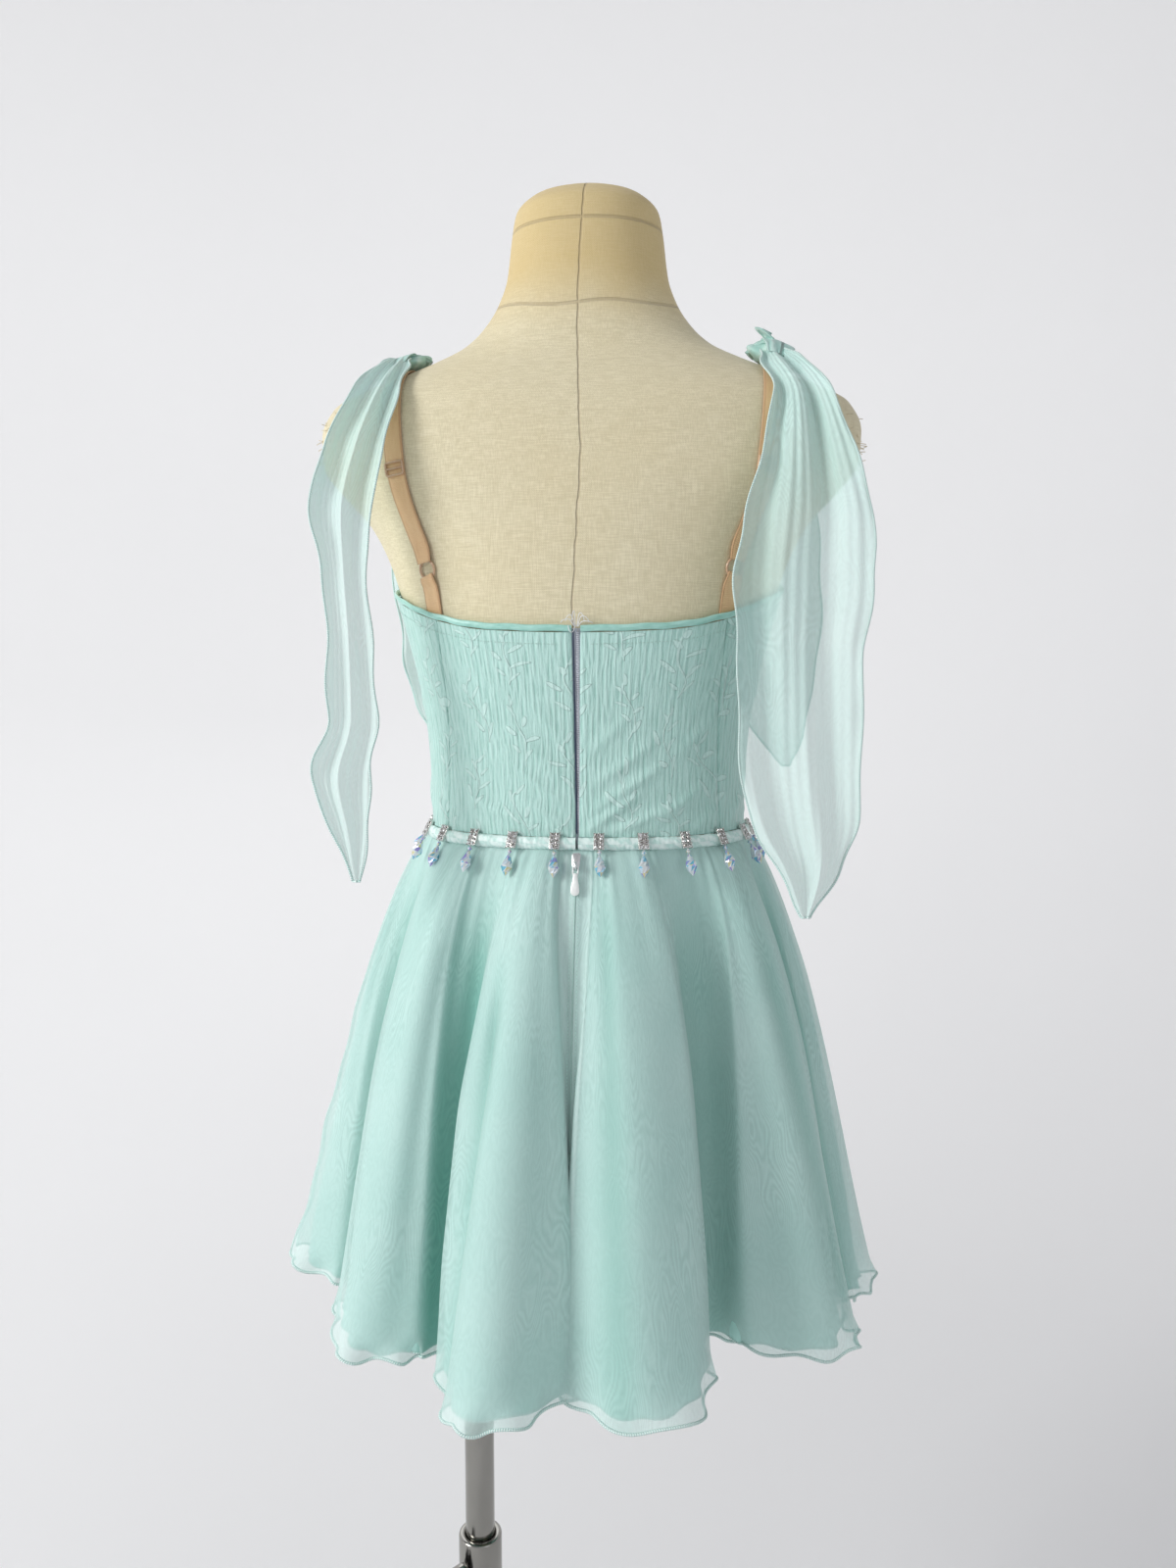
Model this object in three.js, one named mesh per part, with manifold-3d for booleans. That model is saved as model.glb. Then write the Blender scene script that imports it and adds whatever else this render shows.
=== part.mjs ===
// Lyrical dance dress of mint chiffon and plissé satin on a limbless linen dress form with a pole stand.
// Millimetres, +Z up, +Y towards the back of the dress, +X towards the wearer's left.
// The stand is measured up from the floor, and the form and the dress up from the waist seam.
import * as THREE from "three";
import { mergeVertices } from "three/addons/utils/BufferGeometryUtils.js";
import Module from "manifold-3d";

const wasm = await Module();
wasm.setup();

// Stand
const waistHeight = 950;
const baseRadius = 190;
const baseThick = 8;
const baseBevel = 3;
const poleOffset = 86;
const poleRadius = 11.5;
const poleBottom = 120;
const poleBevel = 1;
const sleeveTop = 383;
const sleeveRadius = 17;
const sleeveBevel = 1.5;
const sleeveFlange = 36;
const flangeThick = 6;
const slideGap = 0.3;
const clampHeight = 355;
const clampTurn = 50;
const clampRadius = 4;
const clampLength = 34;
const bossRadius = 9;
const bossReach = 26;
const bossSunk = 4;
const knobRadius = 13;
const knobThick = 12;
const knobLobes = 6;
const knobScallop = 1.3;
const knobClear = 6;

// Cloth
const seamHalf = 0.16;
const clothGap = 0.45;
const tapeThick = 1;
const panelInside = 2.3;
const panelThick = 1.3;
const layerThick = 1;
const layerGap = 0.4;
const skirtLength = 346;
const underShorter = 12;
const underNarrower = 6;
const hemWave = 3;
const slitOpening = 7;
const pipingRound = 2.75;
const pipingTall = 3.4;
const pipingMiddle = panelInside + pipingRound;
const edgeGap = 0.35;
const bindingGap = 0.6;
const bindingTall = 4.2;
const bindingThick = 2.4;
const backGapTop = 4.6;
const backGapWaist = 1.5;
const girthHeight = 60;
const bindingInset = 0.1;
const tapeReach = 11;
const tapeSplit = 1.1;
const tapeStations = [-235, -180, -120, -70, -36, -14, -4, 20, 70, 110, 143];

// Fastening and trim
const strapWide = 12;
const strapThick = 1;
const strapLift = 0.9;
const overStrap = strapLift + strapThick + 0.5;
const strapHub = 215;
const ringRadius = 6.4;
const ringWire = 0.9;
const ringTilt = -26;
const adjusterTilt = 28;
const adjusterWide = 14.8;
const adjusterTall = 10;
const adjusterThick = 1.5;
const adjusterRim = 1.4;
const adjusterBar = 1.6;
const knotTilt = 84;
const knotSize = { across: 19, along: 16, tall: 12 };
const knotFlat = 0.8;
const knotRidge = 0.09;
const knotRidges = 4;
const knotTwist = 1.5;
const crystalCount = 22;
const crystalLean = 28;
const tabWide = 7;
const tabTall = 12;
const tabThick = 2.8;
const tabSink = 0.7;
const sliderThick = 2.6;
const sliderDown = 0.026;
const archWide = 1.6;
const barHeight = 1.15;
const barFromMiddle = -4.4;
const pullLength = 20;
const pullWide = 6;
const pullNeck = 4.2;
const pullThick = 1.2;
const pullLean = 10;
const pullWindow = 4.6;
const pullShoulder = 5;
const pullClear = 0.5;

// Faces: how many columns and rows of points each surface has
const formColumns = 36;
const foldSteps = 4;
const panelRows = 6;
const pipingSteps = 48;
const bindingSteps = 60;
const rollSides = 6;
const strapSteps = 26;
const loopSteps = 6;
const tapeColumns = 3;
const baseSides = 36;
const tubeSides = 24;
const screwSides = 16;
const ringSides = 5;
const ringSteps = 14;
const knotSides = 16;
const knotRows = 7;

// How square the body's sections are: 2 is an ellipse.
const squareness = 2.25;

// The form's sections: height from the waist, half-width, and depth to the front and to the back.
const formSections = [
  { up: -170, half: 115, front: 88, back: 92 },
  { up: -120, half: 118, front: 91, back: 95 },
  { up: -60, half: 115, front: 86, back: 89 },
  { up: -20, half: 111.5, front: 81, back: 81 },
  { up: 0, half: 110.7, front: 80, back: 79 },
  { up: 25, half: 110.9, front: 80, back: 79 },
  { up: 50, half: 111.8, front: 82, back: 80 },
  { up: 83, half: 114.8, front: 86, back: 82 },
  { up: 112, half: 120.5, front: 91, back: 85 },
  { up: 141, half: 127.8, front: 95, back: 87 },
  { up: 174, half: 137, front: 97, back: 88 },
  { up: 196, half: 145, front: 96, back: 88 },
  { up: 218, half: 157, front: 92, back: 87 },
  { up: 240, half: 177, front: 88, back: 85 },
  { up: 260, half: 191, front: 84, back: 82 },
  { up: 282, half: 192.5, front: 78, back: 79 },
  { up: 300, half: 184, front: 70, back: 74 },
  { up: 310, half: 165, front: 64, back: 69 },
  { up: 320, half: 138, front: 57, back: 63 },
  { up: 329, half: 114, front: 52, back: 58 },
  { up: 340, half: 90, front: 50, back: 55 },
  { up: 353, half: 75, front: 51, back: 53 },
  { up: 369, half: 64, front: 52, back: 51 },
  { up: 388, half: 57, front: 52, back: 49 },
  { up: 418, half: 53, front: 53, back: 48 },
  { up: 431, half: 50.5, front: 50, back: 46 },
  { up: 441, half: 41, front: 41, back: 37 },
  { up: 447, half: 27, front: 27, back: 24 },
];
const formTop = 449;

// Top edge of the bodice: height from the waist seam by turn, in degrees from the left side over the back.
const topEdge = [
  { turn: 0, up: 174 },
  { turn: 22, up: 166 },
  { turn: 45, up: 154 },
  { turn: 65, up: 147 },
  { turn: 90, up: 145 },
  { turn: 115, up: 147 },
  { turn: 135, up: 154 },
  { turn: 158, up: 166 },
  { turn: 180, up: 174 },
  { turn: 205, up: 182 },
  { turn: 228, up: 187 },
  { turn: 250, up: 183 },
  { turn: 270, up: 177 },
  { turn: 290, up: 183 },
  { turn: 312, up: 187 },
  { turn: 335, up: 182 },
  { turn: 360, up: 174 },
];

// Vertical seams of the bodice: turn at the waist and at the top edge.
const seams = {
  leftBack: { waist: 36, top: 45 },
  leftSide: { waist: 0, top: 0 },
  leftFront: { waist: -52, top: -50 },
  rightFront: { waist: 232, top: 230 },
  rightSide: { waist: 180, top: 180 },
  rightBack: { waist: 146, top: 136 },
};

// Skirt folds round the hem, from the left side over the back: where each lobe stands out, where the
// valley after it lies, and how far each is from the middle.
const folds = [
  { lobe: -2, reach: 229, valley: 14, depth: 172 },
  { lobe: 38, reach: 198, valley: 54, depth: 147 },
  { lobe: 74, reach: 203, valley: 90, depth: 130 },
  { lobe: 107, reach: 194, valley: 137, depth: 126 },
  { lobe: 154, reach: 205, valley: 168, depth: 180 },
  { lobe: 180, reach: 211, valley: 191, depth: 176 },
  { lobe: 204, reach: 203, valley: 218, depth: 152 },
  { lobe: 231, reach: 206, valley: 244, depth: 146 },
  { lobe: 257, reach: 199, valley: 269, depth: 150 },
  { lobe: 281, reach: 204, valley: 294, depth: 143 },
  { lobe: 306, reach: 198, valley: 318, depth: 156 },
  { lobe: 332, reach: 212, valley: 345, depth: 174 },
];
const leftFold = 0;
const backFold = 2;
const rightFold = 5;
const hemHalfWidth = 195;
const hemSideShift = 5;
const hemHalfDepth = 168;
const broadLobe = 0.45;
const flarePower = 0.6;
const flareStart = 0.02;
const ripplePower = 6;
const rippleShift = 0.6;
const levelTop = 12;

// Rows of points down the skirt, as shares of its length.
const skirtRows = [0, 0.05, 0.13, 0.27, 0.46, 0.68, 0.88, 1];

// Shoulder scarf tails: height, the outer and inner edge measured out from the middle, and how far back.
const scarfTails = {
  scarf_left_back_tail: [
    { up: 332, outer: 136, inner: 122, back: 30 },
    { up: 322, outer: 143, inner: 120, back: 45 },
    { up: 300, outer: 153, inner: 121, back: 66 },
    { up: 262, outer: 166, inner: 127, back: 84 },
    { up: 222, outer: 175, inner: 133, back: 91 },
    { up: 180, outer: 168, inner: 138, back: 92 },
    { up: 130, outer: 165, inner: 134, back: 94 },
    { up: 84, outer: 165, inner: 131, back: 96 },
    { up: 46, outer: 176, inner: 135, back: 100 },
    { up: 12, outer: 163, inner: 136, back: 104 },
    { up: -24, outer: 147, inner: 142, back: 108 },
  ],
  scarf_right_back_tail: [
    { up: 332, outer: -137, inner: -121, back: 30.2 },
    { up: 322, outer: -148, inner: -120, back: 45 },
    { up: 298, outer: -163, inner: -127, back: 66 },
    { up: 254, outer: -178, inner: -119, back: 84 },
    { up: 210, outer: -189, inner: -108, back: 92 },
    { up: 170, outer: -190, inner: -102, back: 94 },
    { up: 125, outer: -184, inner: -105, back: 95 },
    { up: 72, outer: -184, inner: -106, back: 97 },
    { up: 20, outer: -183, inner: -114, back: 101 },
    { up: -12, outer: -172, inner: -132, back: 107 },
    { up: -42, outer: -153, inner: -147, back: 112 },
  ],
  scarf_left_front_tail: [
    { up: 334, outer: 136, inner: 122, back: -4.9 },
    { up: 324, outer: 143, inner: 120, back: -41 },
    { up: 296, outer: 156, inner: 120, back: -71 },
    { up: 250, outer: 168, inner: 116, back: -90 },
    { up: 200, outer: 170, inner: 108, back: -98 },
    { up: 156, outer: 163, inner: 104, back: -99 },
    { up: 118, outer: 160, inner: 107, back: -98 },
    { up: 84, outer: 150, inner: 118, back: -97 },
    { up: 62, outer: 138, inner: 132, back: -97 },
  ],
  scarf_right_front_tail: [
    { up: 334, outer: -137, inner: -121, back: -5.5 },
    { up: 324, outer: -146, inner: -120, back: -41 },
    { up: 296, outer: -158, inner: -121, back: -71 },
    { up: 250, outer: -170, inner: -117, back: -90 },
    { up: 200, outer: -176, inner: -110, back: -98 },
    { up: 150, outer: -178, inner: -106, back: -99 },
    { up: 104, outer: -172, inner: -110, back: -99 },
    { up: 66, outer: -166, inner: -126, back: -98 },
    { up: 38, outer: -156, inner: -150, back: -98 },
  ],
};
const tailColumns = 9;
const tailFolds = 2.5;
const tailFoldDepth = 5;
const tailFoldShare = 0.12;
const tailFoldTurn = 0.25;

// Strap and its loop: where they run, by tilt in the plane across the shoulder, from the back top edge
// over to the front, with the distance out from the middle and off the form
const strapRun = [
  { tilt: -26, out: 103, off: 3 },
  { tilt: -16, out: 106, off: 1.8 },
  { tilt: -4, out: 112, off: strapLift },
  { tilt: 30, out: 124, off: strapLift },
  { tilt: 62, out: 128, off: strapLift },
  { tilt: 90, out: 128, off: strapLift },
  { tilt: 125, out: 124, off: strapLift },
  { tilt: 170, out: 108, off: 0.8 },
  { tilt: 195, out: 96, off: 0.5 },
  { tilt: 212, out: 88, off: 0.45 },
];
const loopRun = [
  { tilt: -49, out: 98, off: 0.45 },
  { tilt: -40, out: 100, off: 0.45 },
  { tilt: -33, out: 101, off: 3 },
];

// Crystal drop under its tab: distance from its middle line, and height
const dropProfile = [
  [0, -25.5],
  [4, -18.5],
  [0.9, -10],
  [1.7, -8.2],
  [0, -5],
];

// Slider seen from behind, and the side view of the arch on it
const sliderOutline = [
  [-2, -6],
  [2, -6],
  [2.6, -4],
  [3, 4.5],
  [1.8, 6],
  [-1.8, 6],
  [-3, 4.5],
  [-2.6, -4],
];
const archOutline = [
  [-6, -0.5],
  [-5.4, -0.5],
  [-5.4, 2.3],
  [-2.4, 2.3],
  [-2.4, -0.5],
  [-1.4, -0.5],
  [-1.4, 2.7],
  [-2.2, 3.3],
  [-5.4, 3.3],
  [-6, 2.7],
];

const finishes = {
  satin: new THREE.MeshStandardMaterial({ color: 0xaadbd0, roughness: 0.45, metalness: 0 }),
  binding: new THREE.MeshStandardMaterial({ color: 0x8fd0c0, roughness: 0.4, metalness: 0 }),
  chiffon: new THREE.MeshStandardMaterial({ color: 0xa5dccf, roughness: 0.8, metalness: 0 }),
  underlayer: new THREE.MeshStandardMaterial({ color: 0x9ad6c8, roughness: 0.7, metalness: 0 }),
  tape: new THREE.MeshStandardMaterial({ color: 0xd9e2ec, roughness: 0.8, metalness: 0 }),
  elastic: new THREE.MeshStandardMaterial({ color: 0xc08e62, roughness: 0.4, metalness: 0 }),
  linen: new THREE.MeshStandardMaterial({ color: 0xe2d6b2, roughness: 0.9, metalness: 0 }),
  chrome: new THREE.MeshStandardMaterial({ color: 0xcfcdc8, roughness: 0.2, metalness: 1 }),
  zipMetal: new THREE.MeshStandardMaterial({ color: 0xf0f2f2, roughness: 0.35, metalness: 0.2 }),
  plate: new THREE.MeshStandardMaterial({ color: 0xbfbdb8, roughness: 0.3, metalness: 1 }),
};

const model = new THREE.Group();
const standGroup = new THREE.Group();
const dressGroup = new THREE.Group();
dressGroup.position.z = waistHeight;
model.add(standGroup, dressGroup);

function addPiece(group, name, geometry, finish) {
  const mesh = new THREE.Mesh(geometry, finish);
  mesh.name = name;
  group.add(mesh);
  return mesh;
}

const radians = THREE.MathUtils.degToRad;

// Value of a table's column at a place between its rows, on a smooth curve that never overshoots them.
function readTable(rows, placeColumn, valueColumn, place) {
  const last = rows.length - 1;
  let row = 0;
  while (row < last - 1 && place > rows[row + 1][placeColumn]) row += 1;
  const slope = (i) =>
    (rows[i + 1][valueColumn] - rows[i][valueColumn]) /
    (rows[i + 1][placeColumn] - rows[i][placeColumn]);
  const tangent = (i) => {
    if (i === 0) return slope(0);
    if (i === last) return slope(last - 1);
    const product = slope(i - 1) * slope(i);
    return product <= 0 ? 0 : (2 * product) / (slope(i - 1) + slope(i));
  };
  const span = rows[row + 1][placeColumn] - rows[row][placeColumn];
  const u = THREE.MathUtils.clamp((place - rows[row][placeColumn]) / span, 0, 1);
  const smooth = u * u * (3 - 2 * u);
  return (
    rows[row][valueColumn] * (1 - smooth) +
    rows[row + 1][valueColumn] * smooth +
    tangent(row) * span * u * (1 - u) ** 2 -
    tangent(row + 1) * span * u * u * (1 - u)
  );
}

// Half-width and depth of the form's section at a height; backwards is above 0 behind the middle.
function sectionAt(backwards, up) {
  const side = backwards > 0 ? "back" : "front";
  return {
    half: readTable(formSections, "up", "half", up),
    deep: readTable(formSections, "up", side, up),
  };
}

// Point off the form's surface; turn 0 is the left side and a quarter turn is the back.
function formPoint(turn, up, off) {
  const section = sectionAt(Math.sin(turn), up);
  const bow = (v) => Math.sign(v) * Math.abs(v) ** (2 / squareness);
  return new THREE.Vector3(
    (section.half + off) * bow(Math.cos(turn)),
    (section.deep + off) * bow(Math.sin(turn)),
    up,
  );
}

// Turn moved by a length along the surface.
function shiftTurn(turn, up, length) {
  const step = 0.01;
  const speed = formPoint(turn - step, up, 0).distanceTo(formPoint(turn + step, up, 0)) / (2 * step);
  return turn + length / speed;
}

// Closed body from points and faces, turned the right way out.
function closedBody(points, faces) {
  let volume = 0;
  for (const [a, b, c] of faces) volume += points[a].dot(points[b].clone().cross(points[c]));
  const geometry = new THREE.BufferGeometry().setFromPoints(points);
  geometry.setIndex(faces.flatMap(([a, b, c]) => (volume < 0 ? [a, c, b] : [a, b, c])));
  geometry.computeVertexNormals();
  return geometry;
}

// Closed wall between two grids of points with the same rows and columns.
function wallBetween(outer, inner, round = false) {
  const rows = outer.length;
  const columns = outer[0].length;
  const points = [...outer.flat(), ...inner.flat()];
  const out = (r, c) => r * columns + (c % columns);
  const ins = (r, c) => rows * columns + out(r, c);
  const faces = [];
  const quad = (a, b, c, d) => faces.push([a, b, c], [a, c, d]);
  const spans = round ? columns : columns - 1;
  for (let c = 0; c < spans; c += 1) {
    for (let r = 0; r < rows - 1; r += 1) {
      quad(out(r, c), out(r, c + 1), out(r + 1, c + 1), out(r + 1, c));
      quad(ins(r, c), ins(r + 1, c), ins(r + 1, c + 1), ins(r, c + 1));
    }
    quad(out(0, c + 1), out(0, c), ins(0, c), ins(0, c + 1));
    quad(out(rows - 1, c), out(rows - 1, c + 1), ins(rows - 1, c + 1), ins(rows - 1, c));
  }
  if (!round) {
    const end = columns - 1;
    for (let r = 0; r < rows - 1; r += 1) {
      quad(out(r, 0), out(r + 1, 0), ins(r + 1, 0), ins(r, 0));
      quad(out(r + 1, end), out(r, end), ins(r, end), ins(r + 1, end));
    }
  }
  return closedBody(points, faces);
}

// Closed bar through a list of rings of points; the two end rings are filled in.
function barThrough(rings) {
  const sides = rings[0].length;
  const points = rings.flat();
  const faces = [];
  for (let r = 0; r < rings.length - 1; r += 1) {
    for (let s = 0; s < sides; s += 1) {
      const next = (s + 1) % sides;
      faces.push([r * sides + s, r * sides + next, (r + 1) * sides + next]);
      faces.push([r * sides + s, (r + 1) * sides + next, (r + 1) * sides + s]);
    }
  }
  const top = (rings.length - 1) * sides;
  for (let s = 1; s < sides - 1; s += 1) {
    faces.push([0, s + 1, s]);
    faces.push([top, top + s, top + s + 1]);
  }
  return closedBody(points, faces);
}

function toSolid(geometry) {
  const bare = geometry.index ? geometry.toNonIndexed() : geometry.clone();
  bare.deleteAttribute("normal");
  bare.deleteAttribute("uv");
  const merged = mergeVertices(bare, 1e-4);
  return new wasm.Manifold(
    new wasm.Mesh({
      numProp: 3,
      vertProperties: merged.attributes.position.array,
      triVerts: new Uint32Array(merged.index.array),
    }),
  );
}

function fromSolid(solid) {
  const mesh = solid.getMesh();
  const geometry = new THREE.BufferGeometry();
  geometry.setAttribute("position", new THREE.BufferAttribute(mesh.vertProperties, 3));
  geometry.setIndex(new THREE.BufferAttribute(mesh.triVerts, 1));
  return geometry;
}

// Solid turned about +Z from a profile of radius and height
function turnedProfile(points, sides) {
  const profile = points.map(([r, z]) => new THREE.Vector2(r, z));
  return new THREE.LatheGeometry(profile, sides).rotateX(Math.PI / 2);
}

// Base plate with a bevelled rim
function basePlate() {
  return turnedProfile(
    [
      [0, 0],
      [baseRadius, 0],
      [baseRadius, baseThick - baseBevel],
      [baseRadius - baseBevel, baseThick],
      [0, baseThick],
    ],
    baseSides,
  );
}

// Direction of the clamp screw, level, seen from above
function clampDirection() {
  return new THREE.Vector3(Math.cos(radians(clampTurn)), Math.sin(radians(clampTurn)), 0);
}

// Lays a shape made along +Z along the clamp screw's axis.
function alongClamp(geometry) {
  const turn = new THREE.Quaternion().setFromUnitVectors(new THREE.Vector3(0, 0, 1), clampDirection());
  return geometry.applyQuaternion(turn).translate(poleOffset, 0, clampHeight);
}

// Sleeve on its foot flange, with a boss that is drilled for the clamp screw
function poleSleeve() {
  const bore = poleRadius + slideGap;
  const tube = turnedProfile(
    [
      [bore, baseThick],
      [sleeveFlange, baseThick],
      [sleeveFlange, baseThick + flangeThick],
      [sleeveRadius, baseThick + flangeThick],
      [sleeveRadius, sleeveTop - sleeveBevel],
      [sleeveRadius - sleeveBevel, sleeveTop],
      [bore, sleeveTop],
      [bore, baseThick],
    ],
    tubeSides,
  ).translate(poleOffset, 0, 0);
  const root = sleeveRadius - bossSunk;
  const boss = turnedProfile(
    [
      [0, root],
      [bossRadius, root],
      [bossRadius, bossReach],
      [0, bossReach],
    ],
    screwSides,
  );
  const holeRadius = clampRadius + slideGap;
  const holeEnd = bossReach + bossSunk;
  const hole = turnedProfile(
    [
      [0, 0],
      [holeRadius, 0],
      [holeRadius, holeEnd],
      [0, holeEnd],
    ],
    screwSides,
  );
  return fromSolid(toSolid(tube).add(toSolid(alongClamp(boss))).subtract(toSolid(alongClamp(hole))));
}

// Clamp screw with a round grip whose rim is scalloped
function clampScrew() {
  const tip = poleRadius + slideGap;
  const shank = turnedProfile(
    [
      [0, tip],
      [clampRadius - poleBevel, tip],
      [clampRadius, tip + poleBevel],
      [clampRadius, tip + clampLength],
      [0, tip + clampLength],
    ],
    screwSides,
  );
  const rim = new THREE.Shape();
  const steps = knobLobes * 6;
  for (let i = 0; i < steps; i += 1) {
    const angle = (i / steps) * 2 * Math.PI;
    const radius = knobRadius - knobScallop * (1 - Math.cos(knobLobes * angle));
    const point = [radius * Math.cos(angle), radius * Math.sin(angle)];
    if (i === 0) rim.moveTo(...point);
    else rim.lineTo(...point);
  }
  rim.closePath();
  const knobStart = bossReach + knobClear;
  const knob = new THREE.ExtrudeGeometry(rim, { depth: knobThick, bevelEnabled: false });
  knob.translate(0, 0, knobStart);
  return alongClamp(fromSolid(toSolid(shank).add(toSolid(knob))));
}

// The pole, up to just under the form
function pole() {
  const top = waistHeight + formSections[0].up - slideGap;
  return turnedProfile(
    [
      [0, poleBottom],
      [poleRadius - poleBevel, poleBottom],
      [poleRadius, poleBottom + poleBevel],
      [poleRadius, top],
      [0, top],
    ],
    tubeSides,
  ).translate(poleOffset, 0, 0);
}

// The form: one whole limbless body from hips to neck cap
function formBody() {
  const points = [];
  const faces = [];
  for (const section of formSections) {
    for (let c = 0; c < formColumns; c += 1) {
      points.push(formPoint((c / formColumns) * 2 * Math.PI, section.up, 0));
    }
  }
  for (let r = 0; r < formSections.length - 1; r += 1) {
    for (let c = 0; c < formColumns; c += 1) {
      const next = (c + 1) % formColumns;
      faces.push([r * formColumns + c, r * formColumns + next, (r + 1) * formColumns + next]);
      faces.push([r * formColumns + c, (r + 1) * formColumns + next, (r + 1) * formColumns + c]);
    }
  }
  const bottom = points.push(new THREE.Vector3(0, 0, formSections[0].up)) - 1;
  const top = points.push(new THREE.Vector3(0, 0, formTop)) - 1;
  const rim = (formSections.length - 1) * formColumns;
  for (let c = 0; c < formColumns; c += 1) {
    const next = (c + 1) % formColumns;
    faces.push([bottom, next, c], [top, rim + c, rim + next]);
  }
  return closedBody(points, faces);
}

// Turn of a bodice seam at a share of its height
function seamTurn(seam, share) {
  return radians(THREE.MathUtils.lerp(seam.waist, seam.top, share));
}

function topEdgeAt(turn) {
  const degrees = THREE.MathUtils.euclideanModulo(THREE.MathUtils.radToDeg(turn), 360);
  return readTable(topEdge, "turn", "up", degrees);
}

// Edge of the back opening on one side, at a share of its height
function backEdge(side, share) {
  const half = THREE.MathUtils.lerp(backGapWaist, backGapTop, share) / 2;
  return shiftTurn(Math.PI / 2, girthHeight, -side * half);
}

// Bodice panel between two edges, each given as a turn for a share of the height
function bodicePanel(fromEdge, toEdge, columns) {
  const bottom = pipingTall + edgeGap;
  const outer = [];
  const inner = [];
  for (let r = 0; r <= panelRows; r += 1) {
    const share = r / panelRows;
    const from = shiftTurn(fromEdge(share), girthHeight, seamHalf);
    const to = shiftTurn(toEdge(share), girthHeight, -seamHalf);
    const outerRow = [];
    const innerRow = [];
    for (let c = 0; c <= columns; c += 1) {
      const turn = THREE.MathUtils.lerp(from, to, c / columns);
      const top = topEdgeAt(turn) - bindingTall - bindingGap;
      const up = THREE.MathUtils.lerp(bottom, top, share);
      outerRow.push(formPoint(turn, up, panelInside + panelThick));
      innerRow.push(formPoint(turn, up, panelInside));
    }
    outer.push(outerRow);
    inner.push(innerRow);
  }
  return wallBetween(outer, inner);
}

// Roll round the body along a height, with a round or flat section of named half sizes
function rollAround(from, to, steps, heightAt, middle, halfThick, halfTall, sides) {
  const rings = [];
  for (let i = 0; i <= steps; i += 1) {
    const turn = THREE.MathUtils.lerp(from, to, i / steps);
    const ring = [];
    for (let s = 0; s < sides; s += 1) {
      const angle = (s / sides) * 2 * Math.PI;
      const up = heightAt(turn) + halfTall * Math.sin(angle);
      ring.push(formPoint(turn, up, middle + halfThick * Math.cos(angle)));
    }
    rings.push(ring);
  }
  return barThrough(rings);
}

function topBinding() {
  const from = backEdge(-1, 1) + radians(bindingInset);
  const to = backEdge(1, 1) + 2 * Math.PI - radians(bindingInset);
  const middle = panelInside + bindingThick / 2;
  const height = (turn) => topEdgeAt(turn) - bindingTall / 2;
  const halfTall = bindingTall / 2 / Math.cos(Math.PI / rollSides);
  return rollAround(from, to, bindingSteps, height, middle, bindingThick / 2, halfTall, rollSides);
}

// One crystal on its tab, hanging down from the piping's middle along -Z
function crystal() {
  const tabOut = pipingRound + tabThick / 2 - tabSink;
  const tab = new THREE.BoxGeometry(tabThick, tabWide, tabTall).translate(tabOut, 0, 0);
  const drop = turnedProfile(dropProfile, rollSides).translate(tabOut, 0, 0);
  return toSolid(tab).add(toSolid(drop));
}

// Waist piping with the crystals sewn to it
function waistPiping() {
  const from = backEdge(-1, 0);
  const to = backEdge(1, 0) + 2 * Math.PI;
  const seamLine = () => 0;
  const roll = rollAround(from, to, pipingSteps, seamLine, pipingMiddle, pipingRound, pipingTall, rollSides);
  let trim = toSolid(roll);
  const one = crystal();
  for (let i = 0; i < crystalCount; i += 1) {
    const turn = crystalTurn(i);
    const middle = formPoint(turn, 0, pipingMiddle);
    const ahead = formPoint(turn + 0.01, 0, pipingMiddle).sub(formPoint(turn - 0.01, 0, pipingMiddle));
    const facing = Math.atan2(-ahead.x, ahead.y);
    const place = new THREE.Matrix4()
      .makeTranslation(middle)
      .multiply(new THREE.Matrix4().makeRotationZ(facing))
      .multiply(new THREE.Matrix4().makeRotationY(radians(-crystalLean)));
    trim = trim.add(one.transform(place.elements));
  }
  return fromSolid(trim);
}

// Crystals lie at even lengths along the waist, half a step from the back opening on each side.
function crystalTurn(index) {
  const steps = 720;
  const lengths = [0];
  const point = (i) => formPoint(Math.PI / 2 + (i / steps) * 2 * Math.PI, 0, pipingMiddle);
  for (let i = 1; i <= steps; i += 1) lengths.push(lengths[i - 1] + point(i).distanceTo(point(i - 1)));
  const wanted = ((index + 0.5) / crystalCount) * lengths[steps];
  const found = lengths.findIndex((length) => length >= wanted);
  return Math.PI / 2 + (found / steps) * 2 * Math.PI;
}

// Skirt column: its compass angle and how far the cloth hangs from the middle at the hem
const columnCount = folds.length * 2 * foldSteps;

function foldAt(place, narrower) {
  const stops = folds.flatMap((fold) => [
    { angle: fold.lobe, reach: fold.reach - narrower },
    { angle: fold.valley, reach: fold.depth },
  ]);
  const along = THREE.MathUtils.euclideanModulo(place, columnCount) / foldSteps;
  const index = Math.floor(along) % stops.length;
  const here = stops[index];
  const wraps = index === stops.length - 1;
  const next = wraps ? { angle: stops[0].angle + 360, reach: stops[0].reach } : stops[index + 1];
  const share = along - Math.floor(along);
  const slow = share + (broadLobe * Math.sin(2 * Math.PI * share)) / (2 * Math.PI);
  return {
    angle: radians(THREE.MathUtils.lerp(here.angle, next.angle, slow)),
    reach: THREE.MathUtils.lerp(here.reach, next.reach, (1 - Math.cos(Math.PI * share)) / 2),
  };
}

// Middle line of the skirt's spread: quick under the waist, slower towards the hem
function flare(down) {
  const scaled = (v) => (v + flareStart) ** flarePower - flareStart ** flarePower;
  return scaled(down) / scaled(1);
}

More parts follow.
